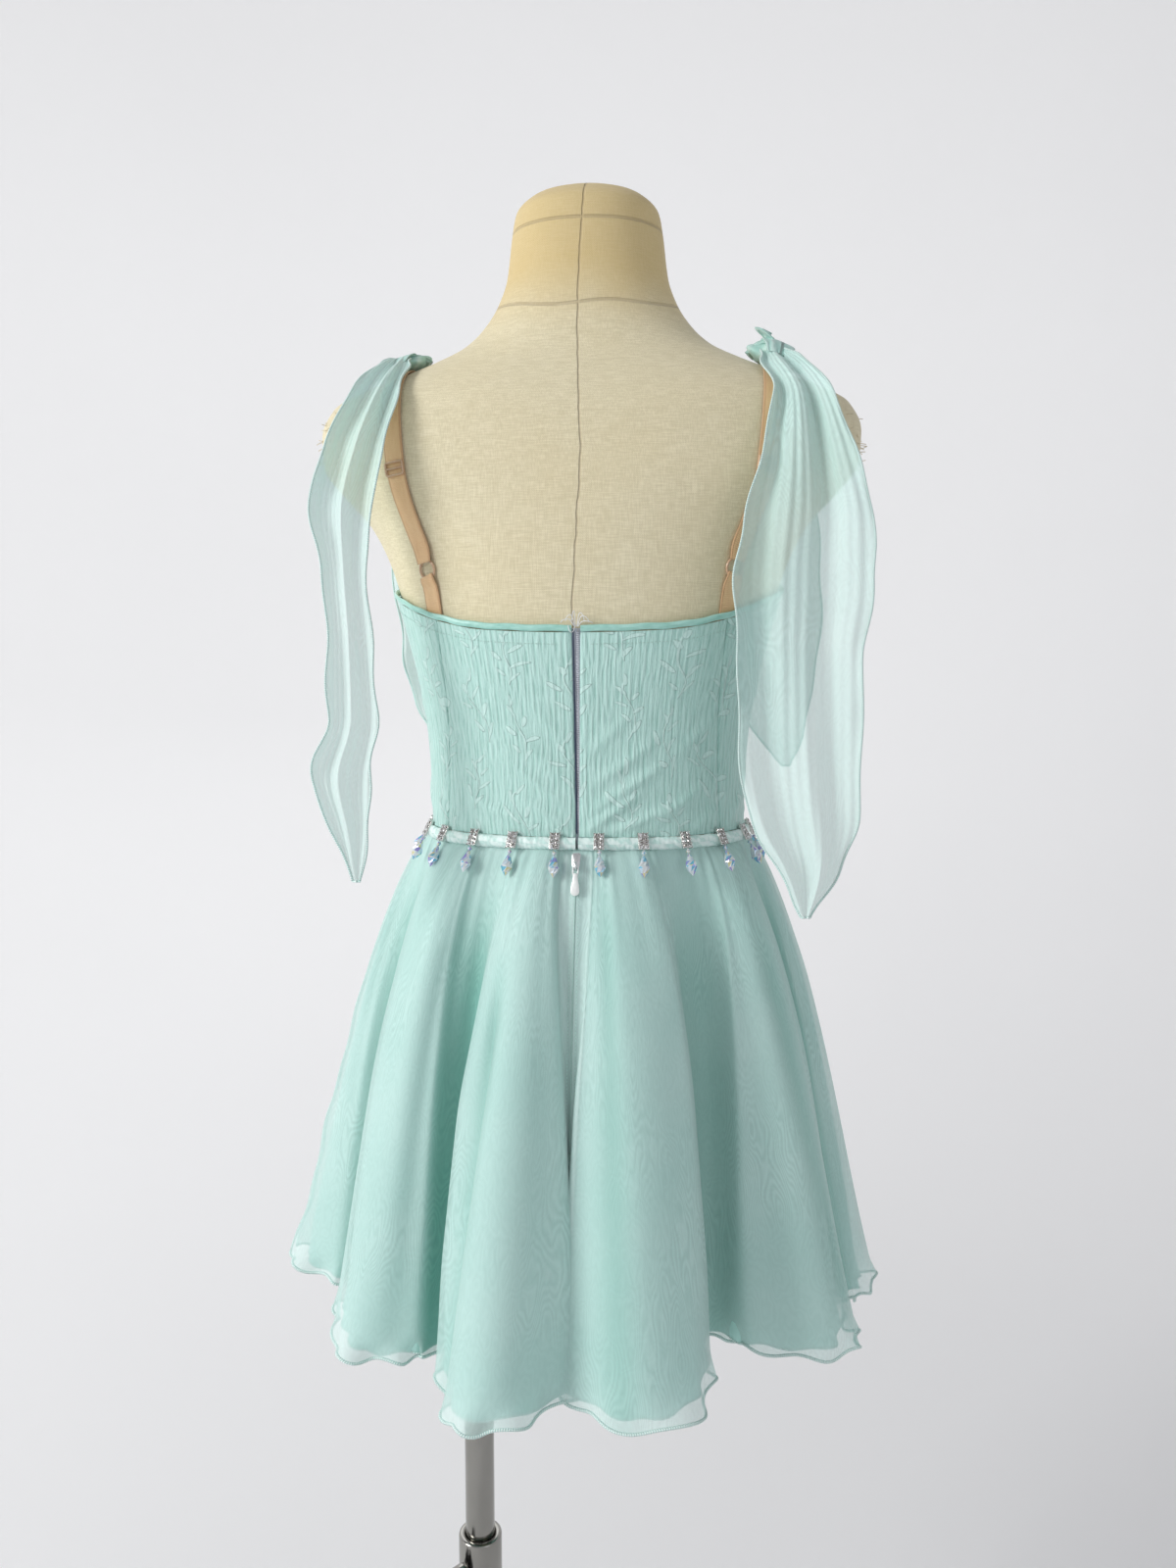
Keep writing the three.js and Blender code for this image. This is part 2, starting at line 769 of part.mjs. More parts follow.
// Point of the skirt's inside at a column and a share of its length
function skirtPoint(place, down, narrower, wave) {
  const fold = foldAt(place, narrower);
  const section = sectionAt(Math.sin(fold.angle), 0);
  const waistReach = radiusOf(fold.angle, section.half + panelInside, section.deep + panelInside);
  const wide = hemHalfWidth + hemSideShift * Math.cos(fold.angle);
  const hemReach = radiusOf(fold.angle, wide, hemHalfDepth);
  const ripple = wave * down ** ripplePower * (1 + Math.sin((place * Math.PI) / 2 + rippleShift));
  const open = THREE.MathUtils.lerp(waistReach, hemReach, flare(down));
  const reach = open + (fold.reach - hemReach) * down + ripple;
  const start = -pipingTall - edgeGap;
  return new THREE.Vector3(
    reach * Math.cos(fold.angle),
    reach * Math.sin(fold.angle),
    THREE.MathUtils.lerp(start, -skirtLength, down) + ripple / 2,
  );
}

function radiusOf(angle, half, deep) {
  const across = Math.abs(Math.cos(angle)) / half;
  const along = Math.abs(Math.sin(angle)) / deep;
  return (across ** squareness + along ** squareness) ** (-1 / squareness);
}

// Point off the skirt's surface; the waist edge is offset level so that the layers end in line
function skirtOff(place, down, layer, off) {
  const at = (p, d) => skirtPoint(p, d, layer.narrower, layer.wave);
  const step = 0.02;
  const across = at(place + 1 / foldSteps, down).sub(at(place - 1 / foldSteps, down));
  const below = at(place, Math.min(down + step, 1)).sub(at(place, Math.max(down - step, 0)));
  const normal = below.cross(across).normalize();
  normal.z *= Math.min(1, down * levelTop);
  normal.normalize();
  return at(place, down).addScaledVector(normal, off);
}

// Skirt panel between two columns, drawn in at both seams
function skirtPanel(fromColumn, toColumn, layer, offInside, widen = [0, 0]) {
  const grids = [layerThick, 0].map((thick) =>
    skirtRows.map((share) => {
      const down = Math.min(share, layer.reach);
      const row = [];
      for (let c = fromColumn; c <= toColumn; c += 1) {
        const point = skirtOff(c, down, layer, offInside + thick);
        const ends = [c === fromColumn, c === toColumn];
        if (ends[0] || ends[1]) {
          const beside = skirtOff(c + (ends[0] ? 1 : -1), down, layer, offInside + thick);
          const pull = seamHalf + (ends[0] ? widen[0] : widen[1]) * down * down;
          point.addScaledVector(beside.sub(point).normalize(), pull);
        }
        row.push(point);
      }
      return row;
    }),
  );
  return wallBetween(grids[0], grids[1]);
}

const outerOff = layerThick + layerGap;
const outerLayer = { reach: 1, narrower: 0, wave: hemWave };
const underLayer = { reach: 1 - underShorter / skirtLength, narrower: underNarrower, wave: 0 };
const columnOfLobe = (fold) => fold * 2 * foldSteps;
const leftColumn = columnOfLobe(leftFold);
const backColumn = columnOfLobe(backFold) + foldSteps;
const rightColumn = columnOfLobe(rightFold);

// Zip tape on one side of the back opening: up the inside of the bodice and down inside the skirt
function zipTape(side) {
  const split = tapeSplit - side * seamHalf;
  const edges = [split, side * -tapeReach].sort((a, b) => a - b);
  const outer = [];
  const inner = [];
  for (const up of tapeStations) {
    const outerRow = [];
    const innerRow = [];
    for (let c = 0; c <= tapeColumns; c += 1) {
      const across = THREE.MathUtils.lerp(edges[0], edges[1], c / tapeColumns);
      outerRow.push(tapePoint(across, up, clothGap + tapeThick));
      innerRow.push(tapePoint(across, up, clothGap));
    }
    outer.push(outerRow);
    inner.push(innerRow);
  }
  return wallBetween(outer, inner);
}

// Point of the tape: on the form above the waist, and as far inside the skirt below it
function tapePoint(across, up, off) {
  const waistEdge = -pipingTall - edgeGap;
  if (up >= waistEdge) return formPoint(shiftTurn(Math.PI / 2, Math.max(up, 0), across), up, off);
  const down = (up - waistEdge) / (-skirtLength - waistEdge);
  const near = skirtOff(backColumn, down, underLayer, 0);
  const next = skirtOff(backColumn + 0.5, down, underLayer, 0);
  const place = backColumn + (0.5 * across) / near.distanceTo(next);
  return skirtOff(place, down, underLayer, off - panelInside);
}

// Point off the form, found along a ray in the plane across the shoulder at a distance out
function shoulderPoint(side, out, tilt, off) {
  const ray = new THREE.Vector3(0, Math.cos(radians(tilt)), Math.sin(radians(tilt)));
  const hub = new THREE.Vector3(out, 0, strapHub);
  const inside = (p) => {
    const section = sectionAt(p.y, p.z);
    const across = Math.abs(p.x) / section.half;
    return across ** squareness + (Math.abs(p.y) / section.deep) ** squareness < 1;
  };
  let near = 0;
  let far = 160;
  for (let i = 0; i < 40; i += 1) {
    const middle = (near + far) / 2;
    if (inside(hub.clone().addScaledVector(ray, middle))) near = middle;
    else far = middle;
  }
  const point = hub.addScaledVector(ray, near);
  const normal = surfaceNormal(point);
  point.addScaledVector(normal, off);
  point.x *= side;
  normal.x *= side;
  return { point, normal };
}

// Outward normal of the form at a point of its surface
function surfaceNormal(p) {
  const measure = (x, y, z) => {
    const section = sectionAt(y, z);
    return (Math.abs(x) / section.half) ** squareness + (Math.abs(y) / section.deep) ** squareness;
  };
  const step = 0.5;
  return new THREE.Vector3(
    measure(p.x + step, p.y, p.z) - measure(p.x - step, p.y, p.z),
    measure(p.x, p.y + step, p.z) - measure(p.x, p.y - step, p.z),
    measure(p.x, p.y, p.z + step) - measure(p.x, p.y, p.z - step),
  ).normalize();
}

// Flat band along a run of the shoulder
function band(side, run, steps, wide) {
  const frames = [];
  const first = run[0].tilt;
  const last = run[run.length - 1].tilt;
  for (let i = 0; i <= steps; i += 1) {
    const tilt = THREE.MathUtils.lerp(first, last, i / steps);
    const out = readTable(run, "tilt", "out", tilt);
    const off = readTable(run, "tilt", "off", tilt);
    frames.push(shoulderPoint(side, out, tilt, off));
  }
  const rings = frames.map(({ point, normal }, i) => {
    const before = frames[Math.max(i - 1, 0)].point;
    const after = frames[Math.min(i + 1, steps)].point;
    const across = after.clone().sub(before).cross(normal).normalize();
    const corner = (w, t) =>
      point.clone().addScaledVector(across, (w * wide) / 2).addScaledVector(normal, t * strapThick);
    return [corner(-1, 0), corner(1, 0), corner(1, 1), corner(-1, 1)];
  });
  return barThrough(rings);
}

// Places a shape made flat in XY, up along +Y, on the strap at a tilt
function onStrap(geometry, side, run, tilt, off) {
  const out = readTable(run, "tilt", "out", tilt);
  const here = shoulderPoint(side, out, tilt, off);
  const ahead = shoulderPoint(side, readTable(run, "tilt", "out", tilt + 2), tilt + 2, off);
  const up = ahead.point.clone().sub(here.point).normalize();
  const across = up.clone().cross(here.normal).normalize();
  const facing = across.clone().cross(up).normalize();
  return geometry.applyMatrix4(new THREE.Matrix4().makeBasis(across, up, facing).setPosition(here.point));
}

function strapRing() {
  const profile = [];
  for (let s = 0; s <= ringSides; s += 1) {
    const angle = (s / ringSides) * 2 * Math.PI;
    profile.push([ringRadius + ringWire * Math.cos(angle), ringWire * Math.sin(angle)]);
  }
  return turnedProfile(profile, ringSteps);
}

function outline(points) {
  return new THREE.Shape(points.map(([x, y]) => new THREE.Vector2(x, y)));
}

// Slide adjuster: a flat frame with a bar across its middle
function strapAdjuster() {
  const wide = adjusterWide / 2;
  const tall = adjusterTall / 2;
  const plate = outline([
    [-wide, -tall],
    [wide, -tall],
    [wide, tall],
    [-wide, tall],
  ]);
  const near = adjusterBar / 2;
  const far = tall - adjusterRim;
  const inside = wide - adjusterRim;
  for (const [low, high] of [[-far, -near], [near, far]]) {
    const window = new THREE.Path();
    window.moveTo(-inside, low);
    window.lineTo(-inside, high);
    window.lineTo(inside, high);
    window.lineTo(inside, low);
    window.closePath();
    plate.holes.push(window);
  }
  return new THREE.ExtrudeGeometry(plate, { depth: adjusterThick, bevelEnabled: false });
}

// Scarf knot: a squashed lump with wrapped ridges, its underside flat on the strap
function scarfKnot(side) {
  const sides = knotSides;
  const bottom = -knotSize.tall * knotFlat;
  const points = [];
  const faces = [];
  for (let r = 1; r < knotRows; r += 1) {
    const lift = (r / knotRows) * Math.PI;
    for (let s = 0; s < sides; s += 1) {
      const angle = (s / sides) * 2 * Math.PI;
      const ridge = 1 + knotRidge * Math.cos(knotRidges * angle + knotTwist * r);
      points.push(
        new THREE.Vector3(
          knotSize.across * Math.sin(lift) * Math.cos(angle) * ridge,
          knotSize.along * Math.sin(lift) * Math.sin(angle) * ridge,
          Math.max(-knotSize.tall * Math.cos(lift), bottom),
        ),
      );
    }
  }
  for (let r = 0; r < knotRows - 2; r += 1) {
    for (let s = 0; s < sides; s += 1) {
      const next = (s + 1) % sides;
      faces.push([r * sides + s, r * sides + next, (r + 1) * sides + next]);
      faces.push([r * sides + s, (r + 1) * sides + next, (r + 1) * sides + s]);
    }
  }
  const low = points.push(new THREE.Vector3(0, 0, bottom)) - 1;
  const high = points.push(new THREE.Vector3(0, 0, knotSize.tall)) - 1;
  const rim = (knotRows - 2) * sides;
  for (let s = 0; s < sides; s += 1) {
    const next = (s + 1) % sides;
    faces.push([low, next, s], [high, rim + s, rim + next]);
  }
  const lump = closedBody(points, faces);
  const off = overStrap - bottom;
  return onStrap(lump, side, strapRun, knotTilt, off);
}

// Scarf tail: a sheet through its rows, in soft vertical folds
function scarfTail(rows) {
  const middle = rows.map((row, r) => {
    const line = [];
    for (let c = 0; c < tailColumns; c += 1) {
      const share = c / (tailColumns - 1);
      const out = THREE.MathUtils.lerp(row.outer, row.inner, share);
      const wide = Math.abs(row.outer - row.inner);
      const depth = Math.min(tailFoldDepth, wide * tailFoldShare);
      const wave = depth * Math.sin(2 * Math.PI * tailFolds * share + tailFoldTurn * r);
      line.push(new THREE.Vector3(out, row.back + wave, row.up));
    }
    return line;
  });
  const last = middle.length - 1;
  const side = tailColumns - 1;
  const normals = middle.map((line, r) =>
    line.map((_, c) => {
      const across = middle[r][Math.min(c + 1, side)].clone().sub(middle[r][Math.max(c - 1, 0)]);
      const along = middle[Math.min(r + 1, last)][c].clone().sub(middle[Math.max(r - 1, 0)][c]);
      return across.cross(along).normalize();
    }),
  );
  const faceAt = (off) =>
    middle.map((line, r) => line.map((point, c) => point.clone().addScaledVector(normals[r][c], off)));
  return wallBetween(faceAt(layerThick / 2), faceAt(-layerThick / 2));
}

// Frame on the skirt at the top of the zip: across, up along the cloth, and out from it
function zipFrame() {
  const here = skirtOff(backColumn, sliderDown, outerLayer, outerOff + layerThick);
  const above = skirtOff(backColumn, sliderDown / 3, outerLayer, outerOff + layerThick);
  const up = above.sub(here).setX(0).normalize();
  const across = new THREE.Vector3(-1, 0, 0);
  const out = across.clone().cross(up).normalize();
  here.addScaledVector(out, slideGap);
  return new THREE.Matrix4().makeBasis(across, up, out).setPosition(here);
}

// Slider body with the arch that keeps the pull's bar
function zipSlider() {
  const plain = { bevelEnabled: false };
  const body = new THREE.ExtrudeGeometry(outline(sliderOutline), { ...plain, depth: sliderThick });
  const arch = new THREE.ExtrudeGeometry(outline(archOutline), { ...plain, depth: archWide });
  const turned = new THREE.Matrix4().makeBasis(
    new THREE.Vector3(0, 1, 0),
    new THREE.Vector3(0, 0, 1),
    new THREE.Vector3(1, 0, 0),
  );
  arch.applyMatrix4(turned).translate(-archWide / 2, 0, sliderThick);
  return fromSolid(toSolid(body).add(toSolid(arch))).applyMatrix4(zipFrame());
}

// Pull tab: a long drop with a window whose upper bar turns under the arch
function zipPull() {
  const neck = pullNeck / 2;
  const bar = pullThick / 2;
  const tab = new THREE.Shape();
  tab.moveTo(-neck, bar);
  tab.lineTo(-neck, -pullShoulder);
  tab.lineTo(-pullWide / 2, -pullLength + pullWide);
  tab.absarc(0, -pullLength + pullWide / 2 + bar, pullWide / 2, Math.PI, 2 * Math.PI, false);
  tab.lineTo(neck, -pullShoulder);
  tab.lineTo(neck, bar);
  tab.closePath();
  const window = new THREE.Path();
  const clear = archWide / 2 + pullClear;
  window.moveTo(-clear, -bar);
  window.lineTo(clear, -bar);
  window.lineTo(clear, -pullWindow);
  window.lineTo(-clear, -pullWindow);
  window.closePath();
  tab.holes.push(window);
  const plate = new THREE.ExtrudeGeometry(tab, { depth: pullThick, bevelEnabled: false, curveSegments: 8 });
  plate.translate(0, 0, -pullThick / 2).rotateX(radians(pullLean));
  plate.translate(0, barFromMiddle, sliderThick + barHeight);
  return plate.applyMatrix4(zipFrame());
}

addPiece(standGroup, "base_plate", basePlate(), finishes.plate);
addPiece(standGroup, "pole_sleeve", poleSleeve(), finishes.chrome);
addPiece(standGroup, "clamp_screw", clampScrew(), finishes.chrome);
addPiece(standGroup, "pole", pole(), finishes.chrome);
addPiece(dressGroup, "form_body", formBody(), finishes.linen);

const fullTurn = 2 * Math.PI;
const lastSeam = (v) => seamTurn(seams.leftFront, v) + fullTurn;
const panels = [
  ["bodice_back_left", (v) => seamTurn(seams.leftBack, v), (v) => backEdge(1, v), 6],
  ["bodice_back_right", (v) => backEdge(-1, v), (v) => seamTurn(seams.rightBack, v), 6],
  ["bodice_side_back_left", (v) => seamTurn(seams.leftSide, v), (v) => seamTurn(seams.leftBack, v), 6],
  ["bodice_side_back_right", (v) => seamTurn(seams.rightBack, v), (v) => seamTurn(seams.rightSide, v), 6],
  ["bodice_side_front_left", (v) => seamTurn(seams.leftFront, v), (v) => seamTurn(seams.leftSide, v), 7],
  ["bodice_side_front_right", (v) => seamTurn(seams.rightSide, v), (v) => seamTurn(seams.rightFront, v), 7],
  ["bodice_front", (v) => seamTurn(seams.rightFront, v), lastSeam, 10],
];
for (const [name, from, to, columns] of panels) {
  addPiece(dressGroup, name, bodicePanel(from, to, columns), finishes.satin);
}
addPiece(dressGroup, "top_binding", topBinding(), finishes.binding);
addPiece(dressGroup, "waist_piping", waistPiping(), finishes.satin);

const layers = [
  ["outer_skirt", outerLayer, outerOff, finishes.chiffon, slitOpening],
  ["underskirt", underLayer, 0, finishes.underlayer, 0],
];
for (const [name, layer, off, finish, slit] of layers) {
  const start = leftColumn;
  const end = leftColumn + columnCount;
  const half = slit / 2;
  addPiece(dressGroup, `${name}_back_left`, skirtPanel(start, backColumn, layer, off, [half, 0]), finish);
  addPiece(dressGroup, `${name}_back_right`, skirtPanel(backColumn, rightColumn, layer, off), finish);
  addPiece(dressGroup, `${name}_front`, skirtPanel(rightColumn, end, layer, off, [0, half]), finish);
}

for (const [name, side] of [["left", 1], ["right", -1]]) {
  addPiece(dressGroup, `zip_tape_${name}`, zipTape(side), finishes.tape);
  addPiece(dressGroup, `strap_${name}`, band(side, strapRun, strapSteps, strapWide), finishes.elastic);
  addPiece(dressGroup, `strap_loop_${name}`, band(side, loopRun, loopSteps, strapWide), finishes.elastic);
  const ring = onStrap(strapRing(), side, strapRun, ringTilt, clothGap + ringWire);
  addPiece(dressGroup, `strap_ring_${name}`, ring, finishes.elastic);
  const adjuster = onStrap(strapAdjuster(), side, strapRun, adjusterTilt, overStrap);
  addPiece(dressGroup, `strap_adjuster_${name}`, adjuster, finishes.elastic);
  addPiece(dressGroup, `scarf_${name}_knot`, scarfKnot(side), finishes.chiffon);
}
addPiece(dressGroup, "zip_slider", zipSlider(), finishes.zipMetal);
addPiece(dressGroup, "zip_pull", zipPull(), finishes.zipMetal);
for (const [name, rows] of Object.entries(scarfTails)) {
  addPiece(dressGroup, name, scarfTail(rows), finishes.chiffon);
}

export default model;
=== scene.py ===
# Lyrical dance dress of mint chiffon and plissé satin on a limbless linen dress form with a pole stand.
# The tables below are in millimetres, as on a pattern sheet; pieces are scaled to metres as they are made.
# +Z is up, +Y is towards the back of the dress and +X towards the wearer's left.
import math

import bpy
import numpy as np
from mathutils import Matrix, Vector


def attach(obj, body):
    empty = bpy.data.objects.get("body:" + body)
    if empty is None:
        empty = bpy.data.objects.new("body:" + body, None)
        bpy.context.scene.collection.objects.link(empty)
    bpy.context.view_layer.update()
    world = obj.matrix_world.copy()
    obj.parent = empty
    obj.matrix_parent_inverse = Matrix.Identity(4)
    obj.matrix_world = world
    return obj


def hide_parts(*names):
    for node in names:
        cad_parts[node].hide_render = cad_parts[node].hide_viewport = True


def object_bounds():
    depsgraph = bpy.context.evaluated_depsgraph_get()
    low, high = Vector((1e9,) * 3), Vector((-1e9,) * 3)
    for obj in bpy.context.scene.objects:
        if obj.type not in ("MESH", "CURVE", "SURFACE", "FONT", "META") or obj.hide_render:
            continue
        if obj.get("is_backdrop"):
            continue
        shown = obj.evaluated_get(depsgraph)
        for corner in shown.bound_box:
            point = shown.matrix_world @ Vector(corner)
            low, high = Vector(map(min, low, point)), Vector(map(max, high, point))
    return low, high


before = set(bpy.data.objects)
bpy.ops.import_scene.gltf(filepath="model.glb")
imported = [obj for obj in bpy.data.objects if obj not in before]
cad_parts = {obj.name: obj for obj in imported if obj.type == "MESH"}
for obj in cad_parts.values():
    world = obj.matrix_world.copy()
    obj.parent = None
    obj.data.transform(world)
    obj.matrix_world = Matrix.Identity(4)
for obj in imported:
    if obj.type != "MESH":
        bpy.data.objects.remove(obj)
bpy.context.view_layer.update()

scene = bpy.context.scene
scene.view_settings.view_transform = "Standard"
rng = np.random.default_rng(7)


# Stand: a turned steel plate, a chromed sleeve on a flange, and a chromed pole that slides in it.
# The clamp screw goes through a boss on the sleeve and its scalloped grip is moulded round the shank.

def as_grid(points, round_rows=False, round_columns=False, uv=None):
    """Points in rows and columns as one shape of quads, with lengths along it as its map."""
    points = np.asarray(points, float)
    rows, columns = points.shape[:2]
    if uv is None:
        across = np.linalg.norm(np.diff(points, axis=1), axis=2).mean(axis=0)
        down = np.linalg.norm(np.diff(points, axis=0), axis=2).mean(axis=1)
        u = np.concatenate(([0], np.cumsum(across)))
        v = np.concatenate(([0], np.cumsum(down)))
        uv = np.stack(np.meshgrid(u, v), -1)
    r = np.arange(rows if round_rows else rows - 1)
    c = np.arange(columns if round_columns else columns - 1)
    r, c = (a.ravel() for a in np.meshgrid(r, c, indexing="ij"))
    r2, c2 = (r + 1) % rows, (c + 1) % columns
    faces = np.stack((r * columns + c, r * columns + c2, r2 * columns + c2, r2 * columns + c), -1)
    return points.reshape(-1, 3), [tuple(f) for f in faces.tolist()], np.asarray(uv).reshape(-1, 2)


def turned(profile, sides):
    """Shape turned about +Z from a profile of radius and height."""
    profile = np.asarray(profile, float)
    angle = np.arange(sides + 1) / sides * 2 * math.pi
    x = profile[:, :1] * np.cos(angle)
    y = profile[:, :1] * np.sin(angle)
    z = np.repeat(profile[:, 1:], sides + 1, axis=1)
    return as_grid(np.stack((x, y, z), -1))


def capped(shape, sides):
    """Closes a roll or a plate whose rows have so many points with one face at each end."""
    points, faces, uv = shape
    faces.append(tuple(range(sides))[::-1])
    faces.append(tuple(range(len(points) - sides, len(points))))
    return points, faces, uv


def placed(shape, matrix=None, move=(0, 0, 0)):
    """Shape turned by a matrix and then moved."""
    points = shape[0] if matrix is None else shape[0] @ np.asarray(matrix, float).T
    return points + np.asarray(move, float), shape[1], shape[2]


def joined(name, shapes, skin, smooth=True):
    """One object from its shapes, in metres."""
    points, faces, maps, start = [], [], [], 0
    for shape in shapes:
        points.append(shape[0])
        faces += [tuple(i + start for i in f) for f in shape[1]]
        maps.append(shape[2])
        start += len(shape[0])
    points = np.concatenate(points) * 0.001
    maps = np.concatenate(maps)
    mesh = bpy.data.meshes.new(name)
    mesh.from_pydata(points.tolist(), [], faces)
    loops = np.empty(len(mesh.loops), np.int32)
    mesh.loops.foreach_get("vertex_index", loops)
    layer = mesh.uv_layers.new(name="map")
    layer.data.foreach_set("uv", maps[loops].astype(np.float32).ravel())
    mesh.polygons.foreach_set("use_smooth", [smooth] * len(mesh.polygons))
    mesh.validate()
    mesh.materials.append(skin)
    obj = bpy.data.objects.new(name, mesh)
    scene.collection.objects.link(obj)
    return obj


def piece(name, shapes, skin, body, nodes=(), smooth=True):
    """One object of the part, on its body, in place of the CAD nodes that it stands for."""
    obj = joined(name, shapes, skin, smooth)
    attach(obj, body)
    if nodes:
        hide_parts(*nodes)
    return obj


class Shade:
    """A shader value that adds, scales and compares like a number."""

    tree = None

    def __init__(self, socket):
        self.socket = socket

    @classmethod
    def node(cls, kind, settings=(), inputs=(), out=0):
        made = cls.tree.nodes.new(kind)
        for name, value in dict(settings).items():
            setattr(made, name, value)
        for name, value in dict(inputs).items():
            if isinstance(value, Shade):
                cls.tree.links.new(value.socket, made.inputs[name])
            else:
                made.inputs[name].default_value = value
        return cls(made.outputs[out])

    def math(self, operation, *others):
        return Shade.node("ShaderNodeMath", {"operation": operation}, enumerate((self, *others)))

    def __add__(self, other):
        return self.math("ADD", other)

    __radd__ = __add__

    def __mul__(self, other):
        return self.math("MULTIPLY", other)

    __rmul__ = __mul__

    def __sub__(self, other):
        return self.math("SUBTRACT", other)

    def __rsub__(self, other):
        return self.math("MULTIPLY", -1).math("ADD", other)

    def __truediv__(self, other):
        return self.math("DIVIDE", other)

    def __pow__(self, other):
        return self.math("POWER", other)

    def __gt__(self, other):
        return self.math("GREATER_THAN", other)

    def __lt__(self, other):
        return self.math("LESS_THAN", other)

    def sin(self):
        return self.math("SINE")

    def abs(self):
        return self.math("ABSOLUTE")

    def wrap(self, length):
        return self.math("FLOORED_MODULO", length)

    def ramp(self, low, high):
        settings = {"interpolation_type": "SMOOTHSTEP"}
        inputs = {"Value": self, "From Min": low, "From Max": high}
        return Shade.node("ShaderNodeMapRange", settings, inputs)


def noise(x, y, z=0.0, detail=2.0, rough=0.5):
    """Soft noise from 0 to 1 at a place, whose numbers say how fast it changes each way."""
    place = Shade.node("ShaderNodeCombineXYZ", (), {"X": x, "Y": y, "Z": z})
    inputs = {"Vector": place, "Scale": 1.0, "Detail": detail, "Roughness": rough}
    return Shade.node("ShaderNodeTexNoise", (), inputs)


def mixed(factor, first, second):
    """Colour between two others."""
    first, second = (c if isinstance(c, Shade) else (*c, 1) for c in (first, second))
    return Shade.node("ShaderNodeMix", {"data_type": "RGBA"}, {0: factor, 6: first, 7: second}, out=2)


def map_place():
    """Lengths along the cloth, across and down, in millimetres."""
    both = Shade.node("ShaderNodeUVMap", {"uv_map": "map"})
    return tuple(Shade.node("ShaderNodeSeparateXYZ", (), {0: both}, out=i) for i in (0, 1))


def solid_place():
    """Place in the piece itself, in millimetres."""
    both = Shade.node("ShaderNodeTexCoord", out=3)
    return tuple(Shade.node("ShaderNodeSeparateXYZ", (), {0: both}, out=i) * 1000.0 for i in (0, 1, 2))


def start_skin(name):
    """New material whose nodes the shader values are made in."""
    made = bpy.data.materials.new(name)
    made.use_nodes = True
    Shade.tree = made.node_tree
    return made


def finish_skin(made, colour, roughness, bump=None, depth=0.0005, **others):
    """Sets the surface; a plain number stays on its own socket and a worked-out value is linked to it."""
    surface = made.node_tree.nodes["Principled BSDF"]
    values = {"Base Color": colour, "Roughness": roughness, **others}
    if bump is not None:
        inputs = {"Height": bump, "Distance": depth, "Strength": 1.0}
        values["Normal"] = Shade.node("ShaderNodeBump", (), inputs)
    for name, value in values.items():
        socket = surface.inputs[name.replace("_", " ")]
        if isinstance(value, Shade):
            made.node_tree.links.new(value.socket, socket)
        elif isinstance(value, tuple) and len(value) == 3:
            socket.default_value = (*value, 1)
        else:
            socket.default_value = value
    return made


def speckled(name, low, high, roughness, grain=1.0, **others):
    """Plain skin whose colour wanders between two others."""
    made = start_skin(name)
    x, y, z = solid_place()
    return finish_skin(made, mixed(noise(x * grain, y * grain, z * grain), low, high), roughness, **others)


steel = start_skin("brushed_steel")
x, y, z = solid_place()
ring = ((x * x + y * y) ** 0.5) * 3.0
finish_skin(steel, mixed(noise(ring, 0.0, z), (0.24, 0.235, 0.215), (0.36, 0.35, 0.33)),
            noise(ring, 2.0, 0.0) * 0.18 + 0.24, noise(ring, 5.0, 0.0), 0.00005, Metallic=1.0)

chrome = start_skin("chrome")
x, y, z = solid_place()
finish_skin(chrome, mixed(noise(x * 0.05, y * 0.05, z * 0.02), (0.26, 0.255, 0.235), (0.42, 0.41, 0.385)),
            noise(x * 0.4, y * 0.4, z * 0.08) * 0.12 + 0.08, Metallic=1.0)

grip_plastic = start_skin("grip")
x, y, z = solid_place()
finish_skin(grip_plastic, mixed(noise(x, y, z), (0.012, 0.012, 0.013), (0.03, 0.03, 0.031)), 0.42,
            noise(x * 2.0, y * 2.0, z * 2.0), 0.0001)

base_profile = [(0, 0), (188, 0), (189.6, 0.5), (190, 1.4), (190, 4.6), (189.4, 6.2), (187.8, 7.5),
                (185.5, 8), (60, 8), (0, 8)]
piece("base_plate_finish", [turned(base_profile, 160)], steel, "stand", ["base_plate"])

POLE_X = 86
CLAMP_UP = 355
SLEEVE_TOP = 383
sleeve_profile = [(11.8, 8), (34.8, 8), (36, 9), (36, 12.6), (35.2, 13.7), (34, 14), (20.5, 14), (18.6, 14.6),
                  (17.4, 16.4), (17, 19), (17, 60), (17, SLEEVE_TOP - 2), (16.7, SLEEVE_TOP - 0.8),
                  (15.6, SLEEVE_TOP), (13, SLEEVE_TOP), (11.8, SLEEVE_TOP - 0.8), (11.8, 8)]
CLAMP_TURN = math.radians(50)
clamp_out = np.array([math.cos(CLAMP_TURN), math.sin(CLAMP_TURN), 0])
clamp_basis = np.stack((np.array([-clamp_out[1], clamp_out[0], 0]), np.array([0, 0, 1]), clamp_out), -1)
boss_profile = [(9.6, 14.5), (9, 16), (9, 25), (8.2, 26), (5.2, 26), (4.3, 25.3), (4.3, 13)]
boss = placed(turned(boss_profile, 48), clamp_basis, (POLE_X, 0, CLAMP_UP))
piece("pole_sleeve_finish", [placed(turned(sleeve_profile, 96), None, (POLE_X, 0, 0)), boss], chrome, "stand",
      ["pole_sleeve"])

